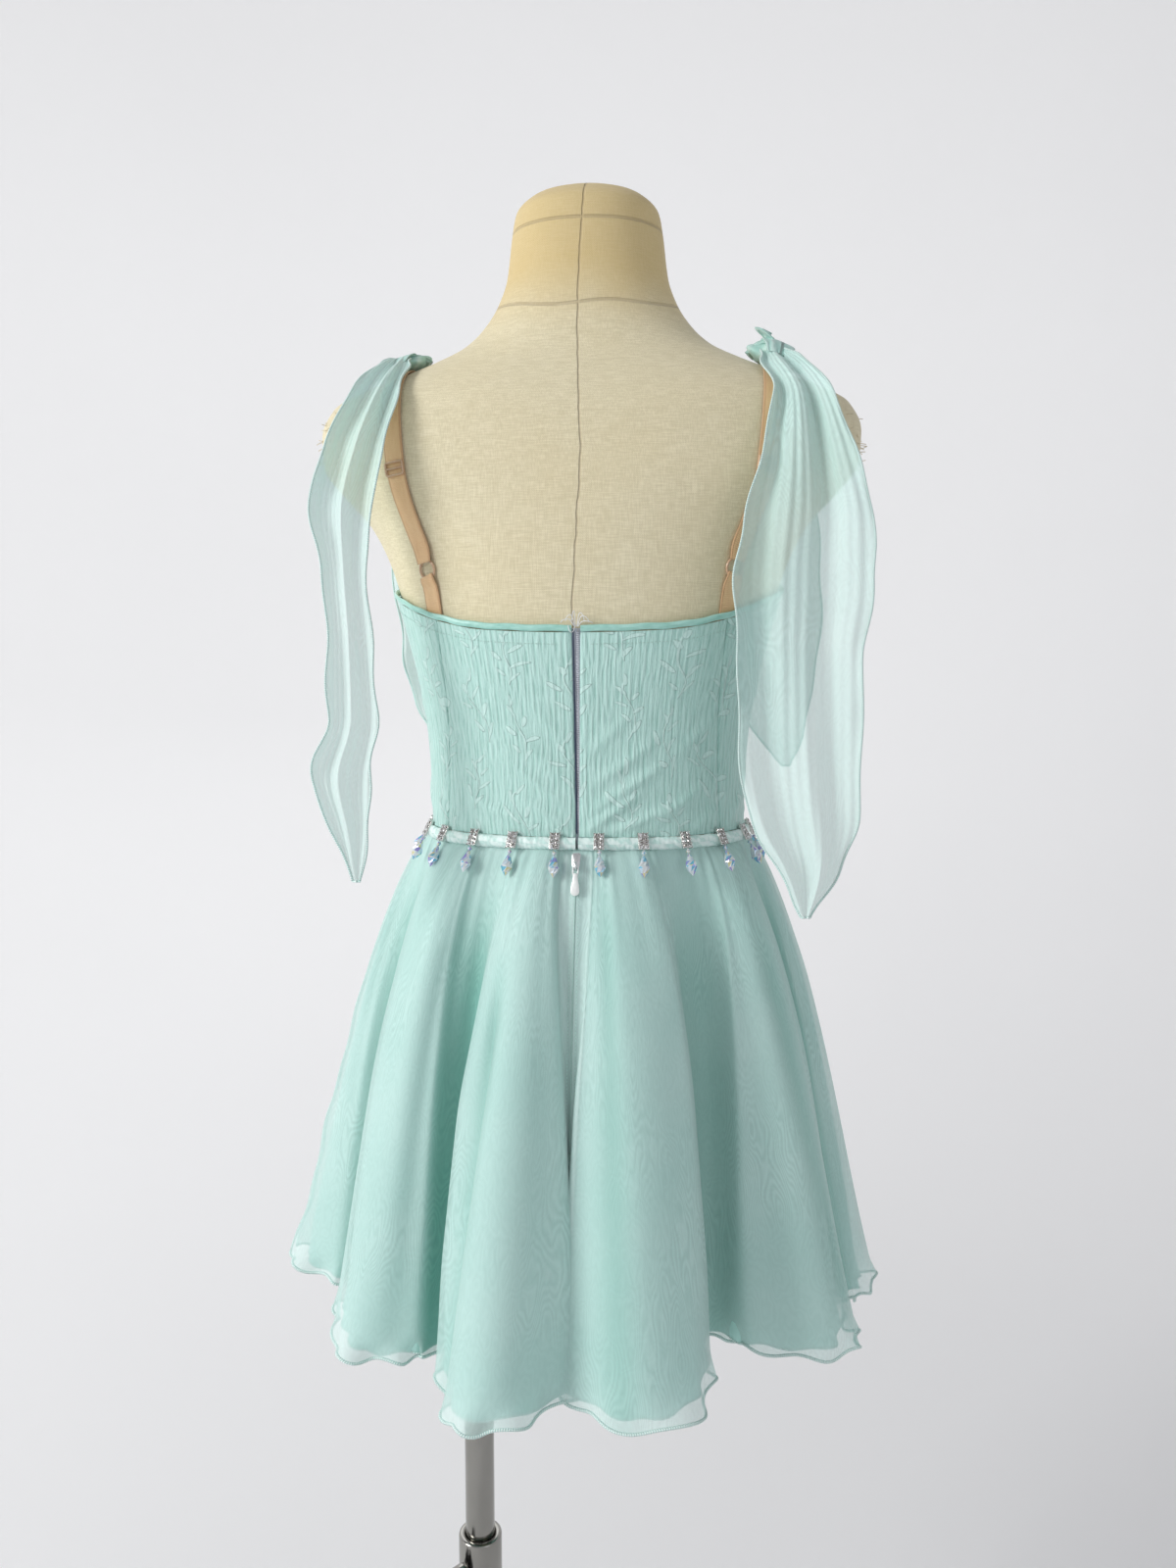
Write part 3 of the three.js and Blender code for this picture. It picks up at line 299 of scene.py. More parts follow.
thread = [(0, 11.9), (2.6, 11.9), (3.4, 12.6)]
for turn_of_thread in np.arange(13, 31, 1.0):
    thread += [(3.95, turn_of_thread), (3.6, turn_of_thread + 0.5)]
thread += [(3.95, 31.5), (3.95, 45.8), (0, 45.8)]
angle = np.arange(0, 145) / 144 * 2 * math.pi
knob_rows = [(0, 32), (0.86, 32), (0.97, 32.7), (1, 34), (1, 42), (0.97, 43.3), (0.86, 44), (0.35, 44.2),
             (0, 44.2)]
rim = 13 - 1.3 * (1 - np.cos(6 * angle))
knob = as_grid([np.stack((s * rim * np.cos(angle), s * rim * np.sin(angle), np.full_like(angle, h)), -1)
                for s, h in knob_rows])
shank = placed(turned(thread, 40), clamp_basis, (POLE_X, 0, CLAMP_UP))
piece("clamp_screw_shank", [shank], chrome, "clamp", ["clamp_screw"])
grip = placed(knob, clamp_basis, (POLE_X, 0, CLAMP_UP))
piece("clamp_screw_grip", [grip], grip_plastic, "clamp", ["clamp_screw"])

pole_profile = [(0, 120), (10.4, 120), (11.2, 120.5), (11.5, 121.5), (11.5, 450), (11.5, 779.4), (0, 779.7)]
pole = placed(turned(pole_profile, 96), None, (POLE_X, 0, 0))
piece("pole_finish", [pole], chrome, "figure", ["pole"])


# Dress form: one padded, limbless body under a cream linen cover, sewn up the centre back and round the
# neck base and the neck cap. Each row gives a height from the waist seam, the half-width, front and back.

WAIST = 950.0
SQUARE = 2.25
FORM = np.array([
    (-170, 115, 88, 92), (-120, 118, 91, 95), (-60, 115, 86, 89), (-20, 111.5, 81, 81), (0, 110.7, 80, 79),
    (25, 110.9, 80, 79), (50, 111.8, 82, 80), (83, 114.8, 86, 82), (112, 120.5, 91, 85), (141, 127.8, 95, 87),
    (174, 137, 97, 88), (196, 145, 96, 88), (218, 157, 92, 87), (240, 177, 88, 85), (260, 191, 84, 82),
    (282, 192.5, 78, 79), (300, 184, 70, 74), (310, 165, 64, 69), (320, 138, 57, 63), (329, 114, 52, 58),
    (340, 90, 50, 55), (353, 75, 51, 53), (369, 64, 52, 51), (388, 57, 52, 49), (418, 53, 53, 48),
    (431, 50.5, 50, 46), (441, 41, 41, 37), (447, 27, 27, 24)], float)


def read_table(rows, column, place):
    """Value of a table's column at a place, on a smooth curve that never overshoots the rows."""
    rows = np.asarray(rows, float)
    x, y = rows[:, 0], rows[:, column]
    place = np.asarray(place, float)
    row = np.clip(np.searchsorted(x, place, side="right") - 1, 0, len(x) - 2)
    slope = np.diff(y) / np.diff(x)
    product = slope[:-1] * slope[1:]
    total = slope[:-1] + slope[1:]
    between = np.where(product > 0, 2 * product / np.where(total == 0, 1, total), 0)
    tangent = np.concatenate(([slope[0]], between, [slope[-1]]))
    span = x[row + 1] - x[row]
    u = np.clip((place - x[row]) / span, 0, 1)
    smooth = u * u * (3 - 2 * u)
    return (y[row] * (1 - smooth) + y[row + 1] * smooth
            + tangent[row] * span * u * (1 - u) ** 2 - tangent[row + 1] * span * u * u * (1 - u))


def bow(v):
    """Cosine or sine made squarer, for the form's rounded-square sections."""
    return np.sign(v) * np.abs(v) ** (2 / SQUARE)


def form_point(turn, up, off):
    """Point off the form; turn 0 is the left side and a quarter turn is the back."""
    turn, up, off = np.broadcast_arrays(*(np.asarray(a, float) for a in (turn, up, off)))
    deep = np.where(np.sin(turn) > 0, read_table(FORM, 3, up), read_table(FORM, 2, up))
    half = read_table(FORM, 1, up)
    return np.stack(((half + off) * bow(np.cos(turn)), (deep + off) * bow(np.sin(turn)), WAIST + up), -1)


def soft_step(v, low, high):
    """Rises smoothly from 0 to 1 between two values."""
    u = np.clip((v - low) / (high - low), 0, 1)
    return u * u * (3 - 2 * u)


linen = start_skin("linen_cover")
x, y, z = solid_place()
up = z - WAIST
warp = (x * 4.6 + noise(x * 0.3, z * 0.05) * 5.0).sin()
weft = (z * 4.2 + noise(x * 0.05, z * 0.3, y * 0.05) * 5.0).sin()
slub = noise(x * 0.12, y * 0.12, z * 1.6, 3.0) + noise(x * 1.7, y * 1.7, z * 0.1, 3.0)
weave = warp * weft * 0.25 + slub
seam_wander = (z * 0.03).sin() * 2.2 + noise(z * 0.05, 3.0) * 4.0 - 2.0
back_seam = (y > 0.0) * (1.0 - (x - seam_wander).abs().ramp(0.2, 1.1))
front_seam = (y < 0.0) * (1.0 - (x + seam_wander * 0.4).abs().ramp(0.25, 1.2))
neck_seam = 1.0 - (up - 369.0 + y * 0.16 + (x * 0.09).sin() * 1.2).abs().ramp(0.3, 1.5)
cap_seam = 1.0 - (up - 418.0 + y * 0.03).abs().ramp(0.3, 1.4)
seam_line = back_seam.math("MAXIMUM", front_seam).math("MAXIMUM", neck_seam).math("MAXIMUM", cap_seam)
stain = noise(x * 0.013, y * 0.013, z * 0.013, 3.0) * 0.25
aged = (up + noise(x * 0.03, y * 0.03, z * 0.02) * 26.0).ramp(352.0, 405.0) * 0.62 + stain
cream = mixed(slub.ramp(0.75, 1.35), (0.67, 0.61, 0.425), (0.84, 0.78, 0.585))
yellowed = mixed(aged, cream, (0.63, 0.465, 0.19))
finish_skin(linen, mixed(seam_line * 0.38, yellowed, (0.36, 0.28, 0.17)), 0.93,
            weave * 0.3 - seam_line * 1.2, 0.0006, Sheen_Weight=0.15)

FORM_FOOT, FORM_TOP = FORM[0, 0], FORM[-1, 0]
form_rows = np.concatenate((np.arange(FORM_FOOT, 300, 4.0), np.arange(300, FORM_TOP + 2, 1.6)))
form_turns = np.arange(0, 181) / 180 * 2 * math.pi
form_shape = form_point(form_turns[None, :], np.minimum(form_rows, FORM_TOP)[:, None], 0)
cap_rows = [form_point(form_turns, FORM_TOP, 0) * [s, s, 1] + [0, 0, lift]
            for s, lift in ((0.8, 0.8), (0.5, 1.5), (0.0, 2.0))]
foot_rows = [form_point(form_turns, FORM_FOOT, 0) * [s, s, 1] for s in (0.0, 0.9)]
cover = as_grid(np.concatenate((foot_rows, form_shape, cap_rows)))
form_cover = piece("form_cover", [cover], linen, "figure", ["form_body"])


def tube(path, radius, sides=8, closed=False, flat=1.0, up=None):
    """Round or flattened roll along a path; its map runs round it and along it."""
    path = np.asarray(path, float)
    count = len(path)
    if closed:
        run = np.roll(path, -1, 0) - np.roll(path, 1, 0)
    else:
        run = np.gradient(path, axis=0)
    run /= np.linalg.norm(run, axis=1, keepdims=True) + 1e-12
    if up is None:
        side = np.cross(run[0], [0, 0, 1.0] if abs(run[0][2]) < 0.8 else [0, 1.0, 0])
        first = np.empty_like(path)
        for i in range(count):
            side = side - run[i] * side.dot(run[i])
            side /= np.linalg.norm(side)
            first[i] = side
    else:
        up = np.broadcast_to(np.asarray(up, float), path.shape)
        first = up - run * (up * run).sum(1, keepdims=True)
        first /= np.linalg.norm(first, axis=1, keepdims=True) + 1e-12
    second = np.cross(run, first)
    radius = np.broadcast_to(np.asarray(radius, float), (count,))
    angle = np.arange(sides) / sides * 2 * math.pi
    points = (path[:, None] + first[:, None] * (np.cos(angle)[None, :, None] * flat * radius[:, None, None])
              + second[:, None] * (np.sin(angle)[None, :, None] * radius[:, None, None]))
    along = np.concatenate(([0], np.cumsum(np.linalg.norm(np.diff(path, axis=0), axis=1))))
    uv = np.stack(np.meshgrid(angle * radius.mean(), along), -1)
    roll = as_grid(points, closed, True, uv)
    return roll if closed else capped(roll, sides)


def curve_through(stops, count):
    """Smooth path through a few points."""
    stops = np.asarray(stops, float)
    t = np.linspace(0, len(stops) - 1, count)
    i = np.clip(t.astype(int), 0, len(stops) - 2)
    u = (t - i)[:, None]
    tangent = np.gradient(stops, axis=0)
    a, b, ta, tb = stops[i], stops[i + 1], tangent[i], tangent[i + 1]
    return ((2 * u**3 - 3 * u**2 + 1) * a + (u**3 - 2 * u**2 + u) * ta
            + (3 * u**2 - 2 * u**3) * b + (u**3 - u**2) * tb)


linen_thread = speckled("linen_thread", (0.52, 0.44, 0.28), (0.80, 0.73, 0.56), 0.9)
frays = []
for side in (-1, 1):
    for i in range(34):
        up_here = rng.uniform(258, 294)
        start = form_point((0 if side > 0 else math.pi) + rng.uniform(-0.5, 0.5), up_here, -0.3)
        length = rng.uniform(1.5, 6.5)
        droop = rng.uniform(-0.8, 0.6)
        stops = [start, start + [side * length * 0.5, rng.uniform(-1, 1), droop],
                 start + [side * length, rng.uniform(-2.5, 2.5), droop * 3]]
        frays.append(tube(curve_through(stops, 6), 0.28, 5))
piece("form_frayed_armholes", frays, linen_thread, "figure")


# Bodice: seven panels of plissé satin jacquard cut close to the form and lined, joined by plain seams.
# The satin is crinkled up and down and woven with faint sprigs; it is drawn into slanting wrinkles.

# Top edge: compass angle and height from the waist. Seams: angle at the waist and at the top.
TOP_EDGE = [(0, 174), (22, 166), (45, 154), (65, 147), (90, 145), (115, 147), (135, 154), (158, 166),
            (180, 174), (205, 182), (228, 187), (250, 183), (270, 177), (290, 183), (312, 187), (335, 182),
            (360, 174)]
SEAMS = {"left_back": (36, 45), "left_side": (0, 0), "left_front": (-52, -50), "right_front": (232, 230),
         "right_side": (180, 180), "right_back": (146, 136), "left_front_round": (308, 310)}
PANEL_IN = 2.3
PANEL_OUT = 3.6
RULE_UP = 60.0
GAP_LOW, GAP_HIGH = 1.5, 4.6


def top_edge(turn):
    """Height of the bodice's top edge."""
    return read_table(TOP_EDGE, 1, np.degrees(turn) % 360)


def shift_turn(turn, up, length):
    """Turn moved by a length along the form."""
    speed = np.linalg.norm(form_point(turn + 0.01, up, 0) - form_point(turn - 0.01, up, 0), axis=-1) / 0.02
    return turn + length / speed


def back_edge(side, share):
    """Edge of a back panel along the zip, from the waist to the top."""
    gap = GAP_LOW + (GAP_HIGH - GAP_LOW) * share
    return shift_turn(math.pi / 2, RULE_UP, -side * gap / 2)


def panel_edge(name, share):
    """Edge of any panel: one side of the zip's gap, or a seam."""
    if name in ("left_gap", "right_gap"):
        return back_edge(1 if name == "left_gap" else -1, share)
    low, high = SEAMS[name]
    return np.radians(low + (high - low) * share)


def length_from_back(turn):
    """Length round the body from the centre back, more towards the right side."""
    turn = np.where(turn > 2.5 * math.pi, turn - 2 * math.pi, turn)
    turns = np.linspace(-math.pi, 2.5 * math.pi, 3000)
    points = form_point(turns, RULE_UP, PANEL_OUT)
    lengths = np.concatenate(([0], np.cumsum(np.linalg.norm(np.diff(points, axis=0), axis=1))))
    return np.interp(turn, turns, lengths) - np.interp(math.pi / 2, turns, lengths)


def line_distance(across, up, start, end):
    """How far each place is from a line, and how far along the line it lies, from 0 to 1."""
    run = np.subtract(end, start)
    share = np.clip(((across - start[0]) * run[0] + (up - start[1]) * run[1]) / run.dot(run), 0, 1)
    gap = np.hypot(across - start[0] - share * run[0], up - start[1] - share * run[1])
    return gap, share


# Slanting wrinkles: start and end, each as length from the centre back (right side above 0) and height
# from the waist, then how wide the wrinkle is and how far it stands out
DRAGS = [
    ((6, 8), (44, 34), 3.2, 1.5), ((8, 20), (58, 52), 3.4, 1.3), ((10, 38), (50, 66), 3.8, 1.0),
    ((24, 7), (66, 24), 3.0, 1.3), ((50, 10), (92, 40), 3.6, 1.0), ((7, 58), (34, 84), 3.8, 0.8),
    ((70, 60), (104, 92), 4.2, 0.7), ((84, 8), (112, 30), 3.6, 1.1), ((-6, 10), (-40, 30), 3.2, 1.5),
    ((-7, 24), (-52, 58), 3.4, 1.2), ((-9, 44), (-46, 76), 3.9, 0.9), ((-22, 6), (-70, 26), 3.1, 1.4),
    ((-54, 9), (-88, 44), 3.8, 0.9), ((-6, 66), (-30, 92), 3.6, 0.8), ((-72, 64), (-100, 96), 4.1, 0.7),
    ((-86, 7), (-116, 26), 3.4, 1.1), ((118, 12), (150, 44), 4.0, 1.0), ((160, 8), (196, 30), 3.8, 1.1),
    ((206, 10), (238, 38), 4.0, 0.9), ((250, 9), (290, 34), 3.8, 1.0), ((300, 12), (330, 40), 4.0, 0.9),
    ((130, 84), (168, 112), 5.0, 0.8), ((226, 100), (262, 122), 5.0, 0.8),
    ((-120, 10), (-156, 40), 4.0, 1.0), ((-168, 7), (-204, 33), 3.8, 1.1),
    ((-214, 12), (-250, 42), 4.0, 0.9), ((-262, 8), (-296, 30), 3.8, 1.0),
    ((-306, 10), (-336, 42), 4.0, 0.9), ((-134, 86), (-172, 110), 5.0, 0.8)]


def drag_height(across, up):
    """How far the slanting wrinkles stand out."""
    total = np.zeros(np.broadcast(across, up).shape)
    for start, end, width, height in DRAGS:
        gap, share = line_distance(across, up, start, end)
        ends = np.sin(math.pi * np.clip(share * 0.86 + 0.07, 0, 1)) ** 0.7
        total += height * np.exp(-(gap / width) ** 2) * ends
    return total


def crinkle_height(across, up):
    """How far the satin's crinkles stand out."""
    wander = 1.6 * np.sin(up * 0.045 + across * 0.03) + 1.1 * np.sin(up * 0.11 + across * 0.07 + 1.0)
    fine = np.sin((across + wander) * 2 * math.pi / 4.3)
    fine = fine + 0.7 * np.sin((across - wander) * 2 * math.pi / 6.7 + up * 0.02)
    patch = 0.6 + 0.4 * np.sin(across * 0.05 + 2.0) * np.sin(up * 0.04 + across * 0.013)
    return 0.10 * fine * patch


def bodice_grid(from_edge, to_edge):
    """Worn panel between two edges, tucked in at its seams."""
    share = np.linspace(0, 1, 76)[:, None]
    start = shift_turn(panel_edge(from_edge, share), RULE_UP, 0.16)
    end = shift_turn(panel_edge(to_edge, share), RULE_UP, -0.16)
    wide = float(np.mean(length_from_back(end) - length_from_back(start)))
    inner = np.linspace(1.6, wide - 1.6, max(20, int(wide / 1.45)))
    column = np.concatenate(([0, 0.05, 0.3, 0.8], inner, [wide - 0.8, wide - 0.3, wide - 0.05, wide])) / wide
    tuck = np.zeros(len(column))
    tuck[:4] = [1.5, 1.1, 0.6, 0.25]
    tuck[-4:] = tuck[:4][::-1]
    turn = start + (end - start) * column
    foot, head = 3.75, top_edge(turn) - 4.8
    up = foot + (head - foot) * share
    across = length_from_back(turn)
    edge = np.minimum(column, 1 - column) * wide
    calm = soft_step(edge, 0.5, 6) * soft_step(share, 0, 0.03) * soft_step(1 - share, 0.0, 0.05)
    pucker = 0.22 * np.sin(up * 2 * math.pi / 7.5 + across * 0.4)
    pucker = pucker * np.exp(-edge / 3.0) * soft_step(edge, 0.1, 0.8)
    off = PANEL_OUT - tuck + calm * (1.4 * drag_height(across, up) + crinkle_height(across, up)) + pucker
    return form_point(turn, up, off), np.stack((across, up), -1)


satin = start_skin("plisse_satin")
u, v = map_place()
wander = noise(u * 0.05, v * 0.02, 0.0, 2.0) * 14.0
ply = ((u + wander) * (2 * math.pi / 3.1)).sin() * 0.5
ply = ply + ((u - wander * 0.7) * (2 * math.pi / 4.7) + v * 0.02).sin() * 0.5
streak = noise(u * 0.95, v * 0.055, 4.0, 4.0, 0.6)
fleck = noise(u * 2.2, v * 0.5, 2.0, 2.0, 0.6)


def leaf(a, b, middle, tilt, long, wide):
    """Raised leaf shape in a repeat: 1 along its middle and 0 outside."""
    c, s = math.cos(tilt), math.sin(tilt)
    along = ((a - middle[0]) * c + (b - middle[1]) * s) / long
    beside = ((b - middle[1]) * c - (a - middle[0]) * s) / wide
    return (1.0 - (along * along + beside * beside)).math("MAXIMUM", 0.0)


drift = noise(u * 0.018, v * 0.022, 7.0, 1.0) * 40.0
u2 = u + drift
v2 = v + noise(u * 0.02, v * 0.015, 11.0, 1.0) * 46.0
REPEAT_WIDE, REPEAT_LONG = 34.0, 52.0
column = (u2 / REPEAT_WIDE).math("FLOOR")
a = u2.wrap(REPEAT_WIDE)
b = (v2 + column * 19.0).wrap(REPEAT_LONG)
bend = 17.0 + (b * 0.13).sin() * 3.5
sprig = (1.0 - (a - bend).abs().ramp(0.25, 0.9)) * (1.0 - (b - 22.0).abs().ramp(18.5, 20.0))
for middle, tilt, long in (((22.5, 9), 0.75, 5.6), ((12.0, 14), 2.45, 5.4), ((24.4, 20), 0.62, 5.8),
                           ((9.6, 25.5), 2.6, 5.6), ((21.5, 31), 0.9, 5.0), ((12.4, 36), 2.2, 4.8),
                           ((15.5, 43), 1.5, 4.2)):
    sprig = sprig.math("MAXIMUM", leaf(a, b, middle, tilt, long, 1.5).ramp(0.0, 0.35))
height = ply * 0.32 + streak * 1.3 + fleck * 0.4 + sprig * 0.9
# Painted sheen: the colour is paler along the crinkle ridges and the long streaks, as highlights, and by the
# flecks and sprigs.
lit = (ply * 0.26 + streak * 2.0 - 0.42 + sprig * 0.35 + fleck * 0.5).ramp(0.0, 1.2)
tint = mixed(lit, (0.290, 0.560, 0.495), (0.560, 0.820, 0.765))
finish_skin(satin, mixed(sprig * 0.34, tint, (0.70, 0.91, 0.87)), 0.40 - sprig * 0.12 + fleck * 0.1,
            height, 0.00075, Sheen_Weight=0.25, Sheen_Roughness=0.4)

panels = [  # name, its two edges, and the cut's width, length and area
    ("back_left", "left_back", "left_gap", 0.103, 0.147, 0.0135),
    ("back_right", "right_gap", "right_back", 0.106, 0.147, 0.0139),
    ("side_back_left", "left_side", "left_back", 0.084, 0.168, 0.0106),
    ("side_back_right", "right_back", "right_side", 0.082, 0.168, 0.0102),
    ("side_front_left", "left_front", "left_side", 0.097, 0.181, 0.0154),
    ("side_front_right", "right_side", "right_front", 0.097, 0.181, 0.0154),
    ("front", "right_front", "left_front_round", 0.200, 0.181, 0.0290)]
for name, from_edge, to_edge, wide, long, cut_area in panels:
    points, uv = bodice_grid(from_edge, to_edge)
    name = f"bodice_{name}"
    cloth = piece(f"{name}_cloth", [as_grid(points, uv=uv)], satin, "figure", [name])


def stitches(path, pitch=2.6, share=0.72, radius=0.24):
    """Row of sewn stitches along a path, each a short thread with its ends sunk."""
    path = np.asarray(path, float)
    along = np.concatenate(([0], np.cumsum(np.linalg.norm(np.diff(path, axis=0), axis=1))))
    made = []
    for at in np.arange(0.3, along[-1] - pitch, pitch):
        stops = at + np.array([0, 0.25, 0.75, 1]) * pitch * share
        line = np.stack([np.interp(stops, along, path[:, k]) for k in range(3)], -1)
        made.append(tube(line, [radius * 0.3, radius, radius, radius * 0.3], 5))
    return made


mint_thread = start_skin("mint_thread")
u, v = map_place()
finish_skin(mint_thread, mixed(noise(u, v * 2.0), (0.30, 0.52, 0.46), (0.62, 0.82, 0.77)), 0.7)
turns = np.linspace(back_edge(-1, 1) + 0.04, back_edge(1, 1) + 2 * math.pi - 0.04, 700)
edge_up = top_edge(turns) - 12.5
proud = 0.8 * drag_height(length_from_back(turns), edge_up)
casing = stitches(form_point(turns, edge_up, PANEL_OUT + 0.25 + proud))
piece("bodice_casing_stitches", casing, mint_thread, "figure")


# Top binding: a bias strip of smooth satin folded over the raw top edge and sewn down, wrinkled a little
# by the turn of the edge. The white ends of its sewing thread are left at the centre back.

binding_satin = start_skin("binding_satin")
u, v = map_place()
pull = noise(u * 0.35, v * 0.16, 2.0, 2.0)
# Painted sheen: the strip's colour is paler where its pulled wrinkles and streaks would catch the light.
sheen = (pull * 0.7 + noise(u * 0.4, v * 0.05, 1.0) * 0.6).ramp(0.3, 1.0)
tint = mixed(sheen, (0.26, 0.56, 0.48), (0.46, 0.76, 0.69))
finish_skin(binding_satin, tint, 0.36, pull + noise(u * 1.2, v * 0.5) * 0.3, 0.0003, Sheen_Weight=0.15)

BINDING_HALF = 2.1
short = math.radians(0.1)
turns = np.linspace(back_edge(-1, 1) + short, back_edge(1, 1) + 2 * math.pi - short, 520)
angle = np.arange(0, 17) / 16 * 2 * math.pi
edge_up = top_edge(turns)[:, None] - BINDING_HALF
wrinkle = 0.07 * np.sin(turns * 47 + 2.6 * np.sin(turns * 17))[:, None] * np.cos(angle)
tall = BINDING_HALF * bow(np.sin(angle)) * 1.06 + 0.25 * np.sin(turns * 31)[:, None]
thick = 1.2 * bow(np.cos(angle))
roll = form_point(turns[:, None], edge_up + tall, PANEL_IN + 1.2 + thick + wrinkle)
uv = np.stack(np.broadcast_arrays(angle[None, :] * 1.7, length_from_back(turns)[:, None]), -1)
binding = piece("top_binding_cloth", [as_grid(roll, uv=uv)], binding_satin, "figure", ["top_binding"])

white_thread = speckled("white_thread", (0.72, 0.74, 0.76), (0.93, 0.94, 0.95), 0.65, 2.0)
top_back = form_point(math.pi / 2, 146.0, 3.2)
ends = []
for reach, rise, out in ((-7, 5.5, 2.5), (-4.5, 8, 1.5), (5.5, 6.5, 2.2), (8, 3.2, 3), (2.0, 9.5, 1.2),
                         (-9, 1.5, 3.2), (4, -7, 2.6)):
    steps = [(reach * 0.15, 0, -2), (reach * 0.5, out * 0.7, rise * 0.8), (reach, out, rise * 0.7),
             (reach * 1.25, out * 0.6, rise * 0.2)]
    ends.append(tube(curve_through([top_back + step for step in steps], 14), 0.26, 6))
piece("centre_back_thread_ends", ends, white_thread, "figure")


# Skirt: an outer layer and a shorter underlayer of chiffon, each in two backs and a front, hung from the
# waist in deep soft folds. A place round it is counted in columns: eight to a fold, from the left side.

# Folds: compass angle and reach at the hem, of the crest and then of the valley after it
FOLDS = [(-2, 229, 14, 172), (38, 198, 54, 147), (74, 203, 90, 130), (107, 194, 137, 126),
         (154, 205, 168, 180), (180, 211, 191, 176), (204, 203, 218, 152), (231, 206, 244, 146),
         (257, 199, 269, 150), (281, 204, 294, 143), (306, 198, 318, 156), (332, 212, 345, 174)]
WAIST_HALF, WAIST_FRONT, WAIST_BACK = 110.7, 80.0, 79.0
COLUMNS = 96
FOLD_STEPS = 4
BACK = 20
RIGHT = 40
SKIRT_LONG = 346.0
SKIRT_TOP = -3.75
OUTER = (0.0, 3.0)  # how much narrower than the outer hem, and how far the hem dips in its waves
UNDER = (6.0, 0.0)
BETWEEN = (3.0, 1.5)

# Lesser creases: column at the waist and at the hem, where each starts and ends down the skirt, height, width
CREASES = [
    (1.2, 2.0, 0.02, 1.0, 3.2, 0.55), (5.4, 4.6, 0.0, 0.9, -3.0, 0.5), (8.8, 9.6, 0.05, 1.0, 2.8, 0.6),
    (10.6, 11.4, 0.0, 0.7, -2.6, 0.45), (13.2, 12.9, 0.02, 1.0, 3.0, 0.5),
    (15.2, 14.4, 0.15, 1.3, -9.0, 0.55), (13.9, 13.3, 0.3, 1.0, 3.0, 0.5),
    (17.6, 18.6, 0.05, 1.0, 3.0, 0.5), (19.0, 19.4, 0.3, 1.0, -2.2, 0.4),
    (21.6, 21.1, 0.25, 1.0, 2.4, 0.45), (23.0, 23.2, 0.0, 0.8, -2.4, 0.5), (25.4, 26.0, 0.0, 1.0, 3.6, 0.5),
    (27.2, 27.0, 0.05, 0.9, -3.2, 0.5), (29.7, 29.2, 0.0, 1.0, 3.0, 0.55),
    (31.6, 32.3, 0.1, 1.0, -2.8, 0.5), (34.4, 34.0, 0.0, 0.85, 2.6, 0.5), (37.2, 37.8, 0.0, 1.0, -2.8, 0.5),
    (39.4, 39.0, 0.1, 1.0, 2.6, 0.5), (42.3, 42.8, 0.0, 0.9, 3.0, 0.5), (44.8, 44.3, 0.05, 1.0, -2.6, 0.5),
    (47.4, 47.9, 0.0, 0.75, 2.8, 0.5), (50.2, 49.7, 0.1, 1.0, -3.0, 0.45),
    (52.9, 53.4, 0.0, 1.0, 3.2, 0.55), (55.6, 55.2, 0.0, 0.8, -2.6, 0.5), (58.4, 58.9, 0.1, 1.0, 2.8, 0.5),
    (61.0, 60.5, 0.0, 0.9, -3.0, 0.5), (63.9, 64.2, 0.05, 1.0, 3.0, 0.5), (66.4, 66.0, 0.0, 0.7, -2.4, 0.5),
    (69.2, 69.8, 0.0, 1.0, 3.2, 0.5), (72.1, 71.5, 0.1, 1.0, -2.8, 0.5), (74.8, 75.3, 0.0, 0.85, 2.6, 0.5),
    (77.6, 77.0, 0.05, 1.0, -2.8, 0.45), (80.3, 80.7, 0.0, 1.0, 3.0, 0.55),
    (83.2, 82.7, 0.0, 0.8, -2.8, 0.5), (86.0, 86.4, 0.1, 1.0, 3.0, 0.5), (88.7, 88.2, 0.0, 1.0, -2.6, 0.5),
    (91.4, 91.9, 0.05, 0.9, 2.8, 0.5), (94.2, 93.8, 0.0, 1.0, -2.8, 0.5)]


def radius_of(angle, half, deep):
    """Reach of a rounded-square ring at a compass angle."""
    across = np.abs(np.cos(angle)) / half
    along = np.abs(np.sin(angle)) / deep
    return (across ** SQUARE + along ** SQUARE) ** (-1 / SQUARE)


def fold_at(place, narrower):
    """Compass angle and hem reach of a column."""
    angle = np.array([a for lobe, reach, valley, depth in FOLDS for a in (lobe, valley)], float)
    reach = np.array([r for lobe, out, valley, depth in FOLDS for r in (out - narrower, depth)], float)
    along = (np.asarray(place, float) % COLUMNS) / FOLD_STEPS
    here = np.floor(along).astype(int) % len(angle)
    after = (here + 1) % len(angle)
    next_angle = angle[after] + np.where(after == 0, 360, 0)
    share = along - np.floor(along)
    slow = share + 0.45 * np.sin(2 * math.pi * share) / (2 * math.pi)
    ease = (1 - np.cos(math.pi * share)) / 2
    compass = np.radians(angle[here] + (next_angle - angle[here]) * slow)
    return compass, reach[here] + (reach[after] - reach[here]) * ease


def crease_height(place, down):
    """How far the lesser creases stand out."""
    total = np.zeros(np.broadcast(place, down).shape)
    for top, hem, start, end, height, width in CREASES:
        line = top + (hem - top) * down ** 1.2
        gap = (np.asarray(place) - line + COLUMNS / 2) % COLUMNS - COLUMNS / 2
        fade = soft_step(down, start, start + 0.22) * (1 - 0.75 * soft_step(down, end - 0.25, end + 0.02))
        total += height * fade * np.exp(-(gap / width) ** 2)
    return total


def valley_gap(place):
    """How many columns a place lies from the nearest valley."""
    along = (np.asarray(place, float) % COLUMNS) / FOLD_STEPS
    share = along - np.floor(along)
    return FOLD_STEPS * np.where(np.floor(along) % 2 == 0, 1 - share, share)


